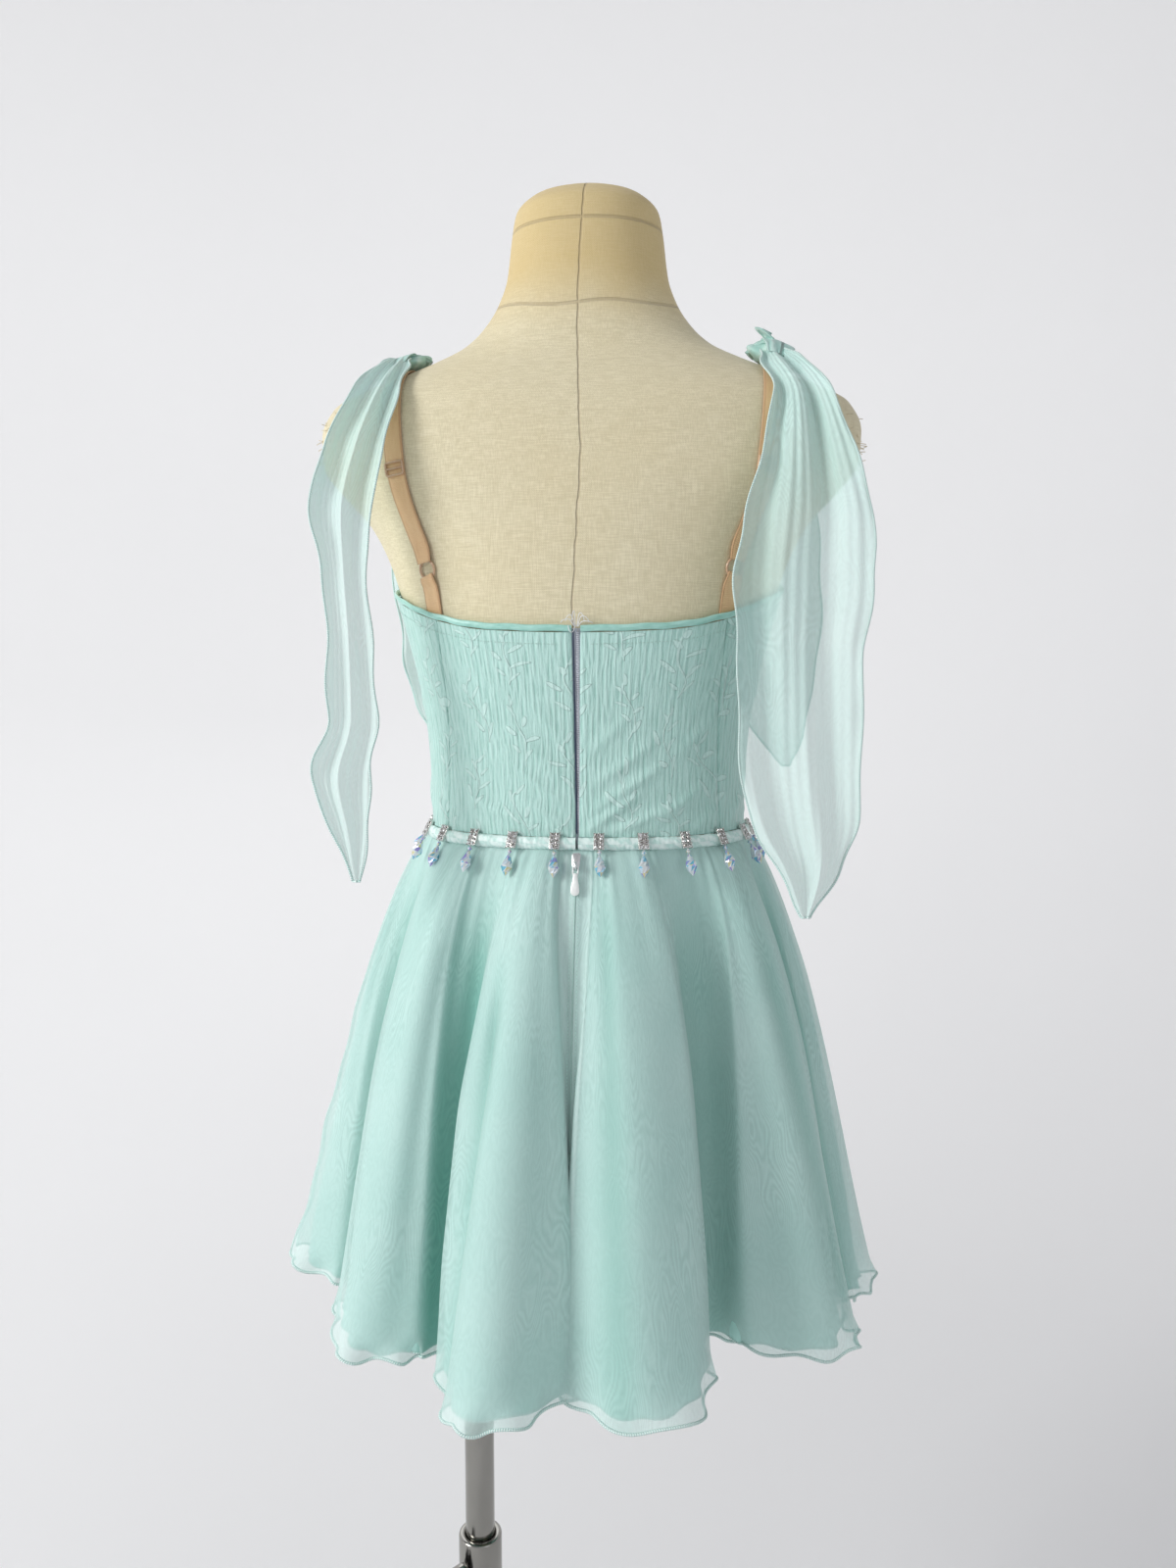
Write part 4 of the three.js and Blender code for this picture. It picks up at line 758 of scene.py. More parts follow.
def fold_roll(place, down):
    """Rolls each fold over its valleys, from the waist on; the centre back seam stands proud instead."""
    gap = valley_gap(place)
    crest = -np.cos(math.pi * gap / FOLD_STEPS)
    begun = soft_step(down, 0.0, 0.5)
    flank = 7.5 * np.exp(-((gap - 1.4) / 0.7) ** 2) - 7.0 * np.exp(-(gap / 0.6) ** 2)
    off_seam = 1 - sum(np.exp(-((way % COLUMNS) / 1.5) ** 2) for way in (place - BACK, BACK - place))
    proud = 24 * down * np.exp(-((place - BACK) / 2.7) ** 2)
    return (begun * flank + 20 * crest * (np.sqrt(down) - down)) * np.clip(off_seam, 0, 1) + proud


def valley_shade(place, down):
    """Painted shade: how far a spot lies down in a fold valley or a crease valley, where its colour is
    painted darker; less of it by the centre back.
    """
    line = sum(soft_step(down, start, start + 0.2)
               * np.exp(-((place - top - (hem - top) * down ** 1.2) / width) ** 2)
               for top, hem, start, end, height, width in CREASES if height < 0)
    lighter = 1 - 0.85 * np.exp(-((place - BACK) / 2.6) ** 2) - 0.5 * np.exp(-((place - BACK - 8) / 2.4) ** 2)
    valley = np.exp(-(valley_gap(place) / 0.95) ** 2) * soft_step(down, 0.0, 0.3)
    return np.clip(valley + 0.5 * line, 0, 1) * lighter


def gathers(place, down):
    """Small tight gathers that die out a little below the waist seam."""
    tight = np.sin(place * 5.1 + 1.3 * np.sin(place * 0.9))
    tight = tight + 0.7 * np.sin(place * 8.3 + 2.0 * np.sin(place * 0.53) + 1.0)
    return 0.55 * tight * np.exp(-((down / 0.17) ** 1.3)) * soft_step(down, 0.0, 0.012)


def hem_waves(place, down, shift):
    """Lettuce edge: the rolled hem stretches the cloth, which stands in small waves."""
    phase = place * 4.7 + 1.5 * np.sin(place * 0.41 + shift) + 0.8 * np.sin(place * 1.13 + shift * 2) + shift
    size = 2.9 + 1.2 * np.sin(place * 0.77 + shift)
    return size * np.sin(phase) * soft_step(down, 0.93, 1.003) ** 1.6, phase


def skirt_base(place, down, narrower, wave):
    """Point of a layer with its main folds alone; down runs from 0 at the waist to 1 at the hem."""
    angle, hem = fold_at(place, narrower)
    deep = np.where(np.sin(angle) > 0, WAIST_BACK, WAIST_FRONT)
    waist = radius_of(angle, WAIST_HALF + PANEL_IN, deep + PANEL_IN)
    full = radius_of(angle, 195 + 5 * np.cos(angle), 168.0)
    ripple = wave * down ** 6 * (1 + np.sin(place * math.pi / 2 + 0.6))
    flare = ((down + 0.02) ** 0.6 - 0.02 ** 0.6) / (1.02 ** 0.6 - 0.02 ** 0.6)
    reach = waist + (full - waist) * flare + (hem - full) * down + ripple
    up = SKIRT_TOP + (-SKIRT_LONG - SKIRT_TOP) * down + ripple / 2
    return np.stack((reach * np.cos(angle), reach * np.sin(angle), WAIST + up), -1)


def skirt_cloth(place, down, narrower, wave, off, shift=0.4, extra=1.0, reach=1.0, lively=1.0):
    """Point of a layer with its creases, gathers and hem waves, and the way out from the cloth there."""
    place, down = np.broadcast_arrays(np.asarray(place, float), np.asarray(down, float))
    across = skirt_base(place + 0.25, down, narrower, wave) - skirt_base(place - 0.25, down, narrower, wave)
    below = (skirt_base(place, np.minimum(down + 0.02, 1), narrower, wave)
             - skirt_base(place, np.maximum(down - 0.02, 0), narrower, wave))
    normal = np.cross(below, across)
    normal /= np.linalg.norm(normal, axis=-1, keepdims=True)
    normal[..., 2] *= np.minimum(1, down * 12)
    normal /= np.linalg.norm(normal, axis=-1, keepdims=True)
    waves, phase = hem_waves(place, down / reach, shift)
    waves = lively * waves
    out = off + extra * (crease_height(place, down) + fold_roll(place, down) + gathers(place, down)) + waves
    points = skirt_base(place, down, narrower, wave) + normal * out[..., None]
    points[..., 2] += 1.7 * lively * np.cos(phase) * soft_step(down / reach, 0.94, 1.003) ** 1.6
    return points, normal


def skirt_skin(name, deep, pale, shaded, see, grain, gathered=0.0):
    """Chiffon whose tone wanders between deep and pale, with the watered look of two fine weaves laid
    together, and painted shade where the valley attribute is high.
    """
    made = start_skin(name)
    u, v = map_place()
    wood = noise(u * 0.050, v * 0.010, 0.0, 2.0, 0.4)
    patch = noise(u * 0.016, v * 0.010, 3.0, 1.0).ramp(0.35, 0.7)
    water = (wood * 190.0 + v * 0.05).sin() * patch + (noise(u * 0.08, v * 0.03, 6.0) * 80.0).sin() * 0.25
    threads = (u * 7.0).sin() * 0.5 * ((v * 7.0).sin() * 0.5)
    cloud = noise(u * 0.012, v * 0.012, 9.0, 3.0)
    tone = (cloud * 0.8 + water * grain + 0.12).ramp(0.0, 1.1)
    # Painted shade: the valley attribute mixes the colour towards the shaded colour down in the valleys.
    valley = Shade.node("ShaderNodeAttribute", {"attribute_name": "valley"}, out=2)
    height = threads * 0.3 + noise(u * 0.5, v * 0.16, 3.0, 3.0) * 0.7
    sheer = (see + water * 0.05 + (1.0 - v.ramp(0.0, 210.0)) * gathered) if see < 1 else 1.0
    return finish_skin(made, mixed(valley * 0.8, mixed(tone, deep, pale), shaded), 0.62, height, 0.0004,
                       Sheen_Weight=0.3, Sheen_Roughness=0.5, Alpha=sheer)


# The third colour of each chiffon is the painted shade used down in its valleys.
outer_skin = skirt_skin("outer_chiffon", (0.560, 0.820, 0.775), (0.740, 0.930, 0.900), (0.170, 0.500, 0.420),
                        0.60, 0.075)
under_skin = skirt_skin("under_chiffon", (0.430, 0.750, 0.690), (0.600, 0.870, 0.825), (0.130, 0.460, 0.380),
                        1, 0.06)

overlock = start_skin("overlock_edge")
u, v = map_place()
bite = (v * (2 * math.pi / 1.5) + u * 0.8).sin()
tint = mixed((bite * 0.5 + noise(u, v * 0.4)).ramp(0.1, 1.0), (0.54, 0.79, 0.74), (0.86, 0.96, 0.94))
finish_skin(overlock, tint, 0.66, bite, 0.0002)

skirt_panels = [("back_left", 0, BACK), ("back_right", BACK, RIGHT), ("front", RIGHT, COLUMNS)]
# Layers: skin, shape, height off its folds, length, shift and size of the hem waves, width of the slit, steps
# in a column, radius of the rolled hem, and each cut's width, length and area
layers = [
    ("outer_skirt", outer_skin, OUTER, 1.9, 1.0, 0.4, 1.0, 7.0, 9, 1.05, "chiffon",
     [(0.524, 0.365, 0.1187), (0.494, 0.363, 0.1137), (1.241, 0.366, 0.2748)]),
    ("underskirt", under_skin, UNDER, 0.5, 1 - 4 / SKIRT_LONG, 2.1, 0.6, 0.0, 7, 0.7, "underlayer",
     [(0.447, 0.361, 0.1120), (0.435, 0.357, 0.1071), (1.058, 0.360, 0.2562)])]
for layer, skin, shape, off, reach, shift, lively, slit, fine, hem_roll, slot, cuts in layers:
    for (name, start, end), (wide, long, cut_area) in zip(skirt_panels, cuts):
        place = np.linspace(start, end, (end - start) * fine + 1)
        down = reach * np.concatenate((np.linspace(0, 0.2, 26), np.linspace(0.2, 0.9, 64)[1:],
                                       np.linspace(0.9, 1, 22)[1:]))
        scaled = down / reach
        points, normal = skirt_cloth(place[None, :], down[:, None], *shape, off, shift, reach=reach,
                                     lively=lively)
        step = np.linalg.norm(np.diff(points, axis=1), axis=2).mean(axis=0)
        across = np.concatenate(([0], np.cumsum(step)))
        slit_edges = [column for column, edge in ((0, start), (-1, end)) if slit and edge % COLUMNS == 0]
        for column in slit_edges:
            beside = points[:, 14 if column == 0 else -15] - points[:, column]
            beside /= np.linalg.norm(beside, axis=1, keepdims=True)
            inward = np.abs(np.arange(len(place)) - (0 if column == 0 else len(place) - 1))
            fade = np.exp(-(inward / 6.0) ** 2)
            points += beside[:, None] * (slit / 2 * down ** 2)[:, None, None] * fade[None, :, None]
            flutter = (1.6 * np.sin(scaled * 21) + 1.0 * np.sin(scaled * 47 + 1)) * scaled
            points += normal * (flutter[:, None] * np.exp(-(inward / 7.0) ** 2)[None, :])[..., None]
        seam = np.zeros(len(place))
        for column in {0, -1}.difference(slit_edges):
            seam += np.exp(-(across - across[column]) ** 2 / 0.8)
        points -= normal * (0.55 * seam)[None, :, None]
        uv = np.stack(np.broadcast_arrays(across[None, :] + start * 20.0, scaled[:, None] * SKIRT_LONG), -1)
        name = f"{layer}_{name}"
        cloth = piece(f"{name}_cloth", [as_grid(points, uv=uv)], skin, "figure", [name])
        edges = [tube(points[-1], hem_roll, 6)]
        edges += [tube(points[3:, column], 0.9, 6) for column in slit_edges]
        rolled = piece(f"{name}_rolled_hem", edges, overlock, "figure", ())
        # Painted shade in the fold and crease valleys, kept on the cloth as its valley attribute.
        shade = valley_shade(place[None, :], scaled[:, None]).astype(np.float32).ravel()
        cloth.data.attributes.new("valley", "FLOAT", "POINT").data.foreach_set("value", shade)


# Centre back: a closed invisible zip of pale tape with fine coil, its slider and pull at the head of the
# skirt seam, the allowances that show through the chiffon, and the seam with a bar tack at the zip's end.

tape_cloth = start_skin("zip_tape")
u, v = map_place()
rib = (v * 5.0).sin() * (u * 5.0).sin()
tint = mixed(noise(u * 0.7, v * 0.7), (0.56, 0.60, 0.70), (0.74, 0.78, 0.86))
finish_skin(tape_cloth, tint, 0.75, rib, 0.0001)

coil_nylon = speckled("coil", (0.60, 0.64, 0.74), (0.88, 0.90, 0.95), 0.35, 3.0)
navy = start_skin("navy_cord")
x, y, z = solid_place()
finish_skin(navy, mixed(noise(x, y, z * 2.0), (0.012, 0.022, 0.060), (0.05, 0.07, 0.13)), 0.6)


def tape_point(across, up, off):
    """Point of the tape: on the form above the waist, and as far inside the skirt below it."""
    across, up = np.broadcast_arrays(np.asarray(across, float), np.asarray(up, float))
    turn = shift_turn(np.full(up.shape, math.pi / 2), np.maximum(up, 0), across)
    above = form_point(turn, np.maximum(up, SKIRT_TOP), off)
    down = np.clip((up - SKIRT_TOP) / (-SKIRT_LONG - SKIRT_TOP), 0, 1)
    near, _ = skirt_cloth(np.full(up.shape, float(BACK)), down, *UNDER, 0.0, extra=0.0)
    beside, _ = skirt_cloth(np.full(up.shape, BACK + 0.5), down, *UNDER, 0.0, extra=0.0)
    speed = np.linalg.norm(beside - near, axis=-1) / 0.5
    below, _ = skirt_cloth(BACK + across / speed, down, *UNDER, off - PANEL_IN, extra=0.0)
    return np.where((up >= SKIRT_TOP)[..., None], above, below)


tape_up = np.concatenate((np.linspace(-235, -6, 90), np.linspace(-4, 143, 60)))
TAPE_HALF, TEETH_ACROSS = 11.0, 1.1
for name, side, wide in (("left", 1, 0.01194), ("right", -1, 0.01)):
    split = TEETH_ACROSS - side * 0.16
    across = np.linspace(*sorted((split, -TAPE_HALF * side)), 14)
    tape = tape_point(across[None, :], tape_up[:, None], np.full((1, 14), 1.2))
    name = f"zip_tape_{name}"
    tape = piece(f"{name}_cloth", [as_grid(tape)], tape_cloth, "figure", [name])

coils = []
for i, up_here in enumerate(np.arange(6, 141, 1.25)):
    lean = 1 if i % 2 else -1
    here = tape_point(TEETH_ACROSS, up_here, 1.9)
    loop = [(1.5, 0, 0), (0.5, 0.5, 0.1), (-0.5, 0.5, 0.3), (-0.9, 0.1, 0.3)]
    coils.append(tube([here + [x * lean, y, z] for x, y, z in loop], 0.36, 6))
piece("zip_coil", coils, coil_nylon, "figure")
cord_up = np.linspace(6, 142, 120)
gap = GAP_LOW + (GAP_HIGH - GAP_LOW) * cord_up / top_edge(math.pi / 2)
cord_turn = shift_turn(np.full(120, math.pi / 2), cord_up, -(gap / 2 - 0.45))
cord = tube(form_point(cord_turn, cord_up, 2.6 + 0.3 * np.sin(cord_up * 0.2)), 0.5, 6)
piece("zip_guard_line", [cord], navy, "figure")

allowance = start_skin("seam_allowance")
u, v = map_place()
tint = mixed(noise(u * 0.2, v * 0.08), (0.80, 0.93, 0.91), (0.92, 0.98, 0.97))
finish_skin(allowance, tint, 0.7, noise(u, v * 0.3), 0.0003)
for name, side in (("left", -1), ("right", 1)):
    down = np.linspace(0.012, 0.70, 110)[:, None]
    frayed = 1.2 * np.abs(np.sin(down * 60)) if side < 0 else 0
    wide = 10.5 + 0.9 * np.sin(down * 16 + side) + frayed * soft_step(down, 0.5, 0.62)
    beside = np.linspace(0, 3, 31)
    line, _ = skirt_cloth(BACK + side * beside[None, :], down, *BETWEEN, 1.25)
    length = np.cumsum(np.linalg.norm(np.diff(line, axis=1), axis=2), axis=1)
    share = np.linspace(0.03, 1, 8)
    across = np.stack([np.interp(share * edge, np.append(0, row), beside)
                       for edge, row in zip(wide[:, 0], length)])
    band, _ = skirt_cloth(BACK + side * across, down, *BETWEEN, 1.25)
    strip = piece(f"zip_allowance_{name}", [as_grid(band)], allowance, "figure", ())

seam_down = np.linspace(0.085, 0.995, 240)
seam_path, seam_out = skirt_cloth(np.full(240, float(BACK)), seam_down, *OUTER, 1.75)
piece("centre_back_skirt_seam", [tube(seam_path + seam_out * 0.1, 0.34, 5)], mint_thread, "figure")
zip_down = np.linspace(0.02, 0.56, 160)
zip_path, _ = skirt_cloth(np.full(160, float(BACK)), zip_down, *OUTER, 2.2)
tack = []
for i in range(9):
    spot, out = skirt_cloth(float(BACK), 0.565 + i * 0.0022, *OUTER, 2.35)
    tack.append(tube([spot + [-2.2, 0, 0], spot + out * 0.25, spot + [2.2, 0, 0]], 0.3, 5))
for beside in (2.6, -2.6):
    tack += stitches(zip_path + [beside, 0, 0], 2.4, 0.7, 0.2)
piece("zip_bar_tack", tack, mint_thread, "figure")

zip_metal = start_skin("zip_metal")
x, y, z = solid_place()
finish_skin(zip_metal, mixed(noise(x, y, z), (0.70, 0.71, 0.72), (0.84, 0.85, 0.86)), 0.24,
            noise(x * 2.0, y * 2.0, z * 2.0), 0.00004, Metallic=0.85)
enamel = speckled("pull_enamel", (0.80, 0.83, 0.82), (0.90, 0.92, 0.91), 0.22, 0.6, Coat_Weight=0.5)

ZIP_HEAD = 0.026
zip_here, zip_above = (skirt_cloth(float(BACK), down, *OUTER, 2.4, extra=0.0, lively=0.0)[0]
                       for down in (ZIP_HEAD, ZIP_HEAD / 3))
zip_up = (zip_above - zip_here) * [0, 1, 1]
zip_up /= np.linalg.norm(zip_up)
zip_across = np.array([-1.0, 0, 0])
zip_out = np.cross(zip_across, zip_up)
zip_out /= np.linalg.norm(zip_out)
zip_basis = np.stack((zip_across, zip_up, zip_out), -1)
zip_origin = zip_here + zip_out * 0.3


def slab(outline, low, high, bevel=0.3):
    """Flat plate from an outline in XY, with its edges rounded."""
    outline = np.asarray(outline, float)
    middle = outline.mean(0)
    size = np.abs(outline - middle).max()
    rows = []
    for height, inset in ((low, bevel), (low + bevel * 0.3, bevel * 0.3), (low + bevel, 0), (high - bevel, 0),
                          (high - bevel * 0.3, bevel * 0.3), (high, bevel)):
        ring = middle + (outline - middle) * (1 - inset / size)
        rows.append(np.column_stack((ring, np.full(len(ring), height))))
    return capped(as_grid(rows, False, True, np.zeros((len(rows), len(outline), 2))), len(outline))


def turn_about(axis, angle):
    """Matrix that turns about one axis."""
    c, s = math.cos(angle), math.sin(angle)
    return np.array({"X": [[1, 0, 0], [0, c, -s], [0, s, c]], "Y": [[c, 0, s], [0, 1, 0], [-s, 0, c]],
                     "Z": [[c, -s, 0], [s, c, 0], [0, 0, 1]]}[axis])


slider_outline = [(-1.4, -6), (1.4, -6), (2.0, -5.6), (2.4, -4.6), (2.6, -3), (2.75, 0), (3, 3.6), (3, 4.6),
                  (2.6, 5.4), (1.8, 6), (-1.8, 6), (-2.6, 5.4), (-3, 4.6), (-3, 3.6), (-2.75, 0),
                  (-2.6, -3), (-2.4, -4.6), (-2.0, -5.6)]
crown_line = [(0, -5.7, 2.2), (0, -5.7, 4.6), (0, -5.0, 5.4), (0, -3.6, 5.6), (0, -2.4, 5.4), (0, -1.9, 4.6),
              (0, -1.9, 2.2)]
slider = [slab(slider_outline, 0, 2.6, 0.5), tube(curve_through(crown_line, 40), 0.78, 10, up=[1.0, 0, 0])]
piece("zip_slider_finish", [placed(part, zip_basis, zip_origin) for part in slider], zip_metal, "figure",
      ["zip_slider"])

arc = np.linspace(math.pi, 2 * math.pi, 16)
tab_line = [(-2.15, -4.5), (-1.75, -5.4), (-1.55, -6.6), (-1.7, -8.2), (-2.5, -12)]
tab_line += [(3 * math.cos(a), -16.4 + 3 * math.sin(a)) for a in arc]
tab_line += [(2.5, -12), (1.7, -8.2), (1.55, -6.6), (1.75, -5.4), (2.15, -4.5)]
bail = [tube(curve_through([(x, -0.1, 0), (x, -2.4, 0), (x, -4.6, 0)], 8), 0.55, 8) for x in (-1.72, 1.72)]
bail.append(tube([(-2.0, 0, 0), (0, 0, 0), (2.0, 0, 0)], 0.6, 10))
pull_turn = turn_about("X", math.radians(10))
pull_parts = [placed(placed(part, pull_turn, (0, -4.4, 3.75)), zip_basis, zip_origin)
              for part in (*bail, slab(tab_line, -0.6, 0.6, 0.25))]
piece("zip_pull_finish", pull_parts, enamel, "pull", ["zip_pull"])


# Waist: a rolled strip of the plissé satin sewn over the seam, and the crystal trim sewn along it. Each
# tab holds two rows of four stones in a pronged cup, with a small bicone and a faceted drop under it.

PIPING_MIDDLE = 5.05
turns = np.linspace(back_edge(-1, 0), back_edge(1, 0) + 2 * math.pi, 900)
angle = np.arange(0, 17) / 16 * 2 * math.pi
along = length_from_back(turns)[:, None]
crush = (0.11 * np.sin(along * 0.83 + 0.7 * angle + 2.5 * np.sin(along * 0.11))
         + 0.09 * np.sin(along * 1.9 - 1.1 * angle)
         + 0.12 * np.sin(along * 0.31 + angle * 2 + 1.7 * np.sin(along * 0.07)))
tall = (4.3 + crush) * np.sin(angle) - 0.5
thick = (2.85 + crush) * np.cos(angle)
roll = form_point(turns[:, None], tall, PIPING_MIDDLE + thick)
uv = np.stack(np.broadcast_arrays(angle[None, :] * 2.9 + along * 0.4, along), -1)
rolled_satin = start_skin("rolled_satin")
u, v = map_place()
ply = (u * 0.9 + noise(u * 0.2, v * 0.25) * 9.0).sin()
# Painted sheen: the roll's colour is paler along its crinkles and streaks, as highlights.
sheen = (ply * 0.4 + noise(u * 0.6, v * 0.4, 2.0) * 1.3 + 0.05).ramp(0.0, 1.1)
tint = mixed(sheen, (0.52, 0.76, 0.71), (0.78, 0.93, 0.90))
finish_skin(rolled_satin, tint, 0.36, ply * 0.3 + noise(u * 1.5, v * 1.5) * 0.7, 0.0003, Sheen_Weight=0.2)

# Painted shadow: a thin dark teal tube run along the waist seam under the piping, where the piping casts
# shade.
seam_shade = speckled("seam_shade", (0.05, 0.13, 0.12), (0.11, 0.22, 0.20), 0.8)
painted_shadow_line = form_point(turns, -3.75 + 0.2 * np.sin(turns * 40), 3.4)
piece("waist_painted_shadow", [tube(painted_shadow_line, 0.55, 6)], seam_shade, "figure")

silver = speckled("silver_cup", (0.55, 0.53, 0.50), (0.80, 0.79, 0.77), 0.22, Metallic=1.0)
stone = start_skin("rhinestone")
# Painted reflections: each facet is painted dark or bright at random, as if it mirrored its surroundings.
facet = Shade.node("ShaderNodeNewGeometry", out="Random Per Island")
finish_skin(stone, mixed(facet.ramp(0.25, 0.75), (0.20, 0.17, 0.15), (0.93, 0.93, 0.95)), 0.06, Metallic=0.55,
            Coat_Weight=1.0)
crystal = start_skin("aurora_crystal")
# Each facet is painted at random clear, cyan, violet, yellow or white: the aurora coating is real, and its
# flashes and the white glints are painted reflections.
facet = Shade.node("ShaderNodeNewGeometry", out="Random Per Island")
clear = mixed(facet.ramp(0.0, 0.35), (0.60, 0.78, 0.95), (0.92, 0.95, 0.97))
cyan = mixed(facet.ramp(0.55, 0.60), clear, (0.18, 0.62, 0.86))
violet = mixed(facet.ramp(0.70, 0.74), cyan, (0.40, 0.32, 0.80))
yellow = mixed(facet.ramp(0.84, 0.87), violet, (0.88, 0.82, 0.42))
finish_skin(crystal, mixed(facet.ramp(0.93, 0.95), yellow, (0.97, 0.98, 1.0)), 0.04, Transmission_Weight=0.35,
            IOR=1.58, Coat_Weight=1.0, Metallic=0.25)


def facets(rings):
    """Cut stone from rings of points: each facet is flat and apart from the next."""
    points, faces = [], []

    def face(*corners):
        faces.append(tuple(range(len(points), len(points) + len(corners))))
        points.extend(corners)

    for low, high in zip(rings[:-1], rings[1:]):
        n = len(low)
        for i in range(n):
            j = (i + 1) % n
            if len(high) == 1:
                face(low[i], low[j], high[0])
            else:
                face(low[i], low[j], high[i])
                face(low[j], high[j], high[i])
    if len(rings[-1]) > 2:
        face(*rings[-1])
    points = np.asarray(points, float)
    return points, faces, np.zeros((len(points), 2))


def ring_at(radius, height, start=0.0, sides=8):
    """Ring of a cut stone, or its point where the radius is 0."""
    if radius == 0:
        return [np.array([0, 0, height])]
    turn = start + np.arange(sides) / sides * 2 * math.pi
    return list(np.stack((radius * np.cos(turn), radius * np.sin(turn), np.full(sides, height)), -1))


def upside(rings):
    """Cut stone whose first ring is a single point."""
    points, faces, maps = facets(rings[::-1])
    return points, [f[::-1] for f in faces], maps


TABS = 22
steps = np.linspace(math.pi / 2, 2.5 * math.pi, 2881)
waist_points = form_point(steps, 0.0, PIPING_MIDDLE)
waist_lengths = np.concatenate(([0], np.cumsum(np.linalg.norm(np.diff(waist_points, axis=0), axis=1))))
tab_turns = np.interp((np.arange(TABS) + 0.5) / TABS * waist_lengths[-1], waist_lengths, steps)

TAB_OUT = 3.45
TAB_TILT = -28
HALF_STEP = math.pi / 8
to_front = np.array([[0, 0, 1.0], [1.0, 0, 0], [0, 1.0, 0]])
stone_rings = [ring_at(1.42, 0.0, HALF_STEP), ring_at(1.42, 0.35, HALF_STEP),
               ring_at(1.0, 1.0, 2 * HALF_STEP), ring_at(0.68, 1.25, HALF_STEP)]
drop_rings = [ring_at(0, -25.5), ring_at(2.3, -22.6), ring_at(3.9, -19.4, HALF_STEP), ring_at(4.0, -18.2),
              ring_at(3.0, -15.0, HALF_STEP), ring_at(1.7, -12.0), ring_at(0.75, -10.0, HALF_STEP)]
bicone_rings = [ring_at(0.5, -9.7), ring_at(1.75, -8.1, HALF_STEP), ring_at(0.7, -6.6)]
tab_outline = [(-3.3, -5.9), (3.3, -5.9), (3.5, -5.6), (3.5, 5.6), (3.3, 5.9), (-3.3, 5.9), (-3.5, 5.6),
               (-3.5, -5.6)]
plate = placed(slab(tab_outline, -1.4, 0.5, 0.3), to_front, (TAB_OUT, 0, 0))
prong = turned([(0.42, 0.4), (0.42, 0.9), (0.25, 1.15), (0, 1.2)], 6)
prongs = [placed(prong, to_front, (TAB_OUT, across, up))
          for across in (-3.35, 0, 3.35) for up in (-5.7, -2.9, 0, 2.9, 5.7)]
link = tube([(TAB_OUT, 0, -5.2), (TAB_OUT + 0.5, 0, -6.4), (TAB_OUT, 0, -8.1), (TAB_OUT, 0, -10.2)], 0.3, 6)
cups, stones, drops = [], [], []
for turn in tab_turns:
    middle = form_point(turn, 0.0, PIPING_MIDDLE)
    ahead = form_point(turn + 0.01, 0.0, PIPING_MIDDLE) - form_point(turn - 0.01, 0.0, PIPING_MIDDLE)
    spin = turn_about("Z", math.atan2(-ahead[0], ahead[1]))
    tilt = math.radians(TAB_TILT + rng.uniform(-5, 5))
    sway = math.radians(rng.uniform(-5, 5))
    hang = spin @ turn_about("Y", tilt) @ turn_about("X", sway)
    fixed = spin @ turn_about("Y", math.radians(TAB_TILT))
    cups += [placed(part, fixed, middle) for part in (plate, *prongs)] + [placed(link, hang, middle)]
    for row in range(4):
        for column in (-1, 1):
            where = (TAB_OUT + 0.55, column * 1.68, 4.4 - row * 2.93)
            spun = turn_about("Z", rng.uniform(0, 2 * math.pi))
            stones.append(placed(placed(facets(stone_rings), to_front @ spun, where), fixed, middle))
    drops += [placed(placed(part, None, (TAB_OUT, 0, 0)), hang, middle)
              for part in (upside(drop_rings), facets(bicone_rings))]
piping = piece("waist_piping_roll", [as_grid(roll, uv=uv)], rolled_satin, "figure", ["waist_piping"])
piece("waist_trim_cups", cups, silver, "figure", ["waist_piping"])
piece("waist_trim_stones", stones, stone, "figure", ["waist_piping"], smooth=False)
piece("waist_trim_drops", drops, crystal, "figure", ["waist_piping"], smooth=False)


# Straps: satin elastic from the back top edge over the shoulder to the front, run through a slide
# adjuster and a ring that is held by a short loop sewn into the binding. Tilt is measured about the hub.

HUB = 215.0
# Runs: tilt in degrees up from straight back, how far out from the middle, and height off the form
STRAP_RUN = [(-26, 103, 3), (-16, 106, 1.8), (-4, 112, 0.9), (30, 124, 0.9), (62, 128, 0.9), (90, 128, 0.9),
             (125, 124, 0.9), (170, 108, 0.8), (195, 96, 0.5), (212, 88, 0.45)]
LOOP_RUN = [(-49, 98, 0.45), (-40, 100, 0.45), (-34, 101, 1.2), (-31, 102, 2.4), (-29, 103, 2.2)]
RING_TILT, ADJUSTER_TILT, KNOT_TILT = -26.0, 28.0, 84.0


def form_measure(x, y, up):
    """Below 1 inside the form, 1 on it and more outside."""
    half = read_table(FORM, 1, up)
    deep = np.where(y > 0, read_table(FORM, 3, up), read_table(FORM, 2, up))
    return (np.abs(x) / half) ** SQUARE + (np.abs(y) / deep) ** SQUARE


def shoulder_point(side, out, tilt, off):
    """Point off the form along a ray in the plane across the shoulder, and the way out there."""
    out, tilt, off = np.broadcast_arrays(*(np.asarray(a, float) for a in (out, tilt, off)))
    dy, dz = np.cos(np.radians(tilt)), np.sin(np.radians(tilt))
    near, far = np.zeros(tilt.shape), np.full(tilt.shape, 160.0)
    for _ in range(40):
        middle = (near + far) / 2
        inside = form_measure(out, dy * middle, HUB + dz * middle) < 1
        near, far = np.where(inside, middle, near), np.where(inside, far, middle)
    x, y, z = out, dy * near, HUB + dz * near
    step = 0.5
    normal = np.stack((form_measure(x + step, y, z) - form_measure(x - step, y, z),
                       form_measure(x, y + step, z) - form_measure(x, y - step, z),
                       form_measure(x, y, z + step) - form_measure(x, y, z - step)), -1)
    normal /= np.linalg.norm(normal, axis=-1, keepdims=True)
    points = np.stack((x, y, z + WAIST), -1) + normal * off[..., None]
    flip = np.array([side, 1, 1])
    return points * flip, normal * flip


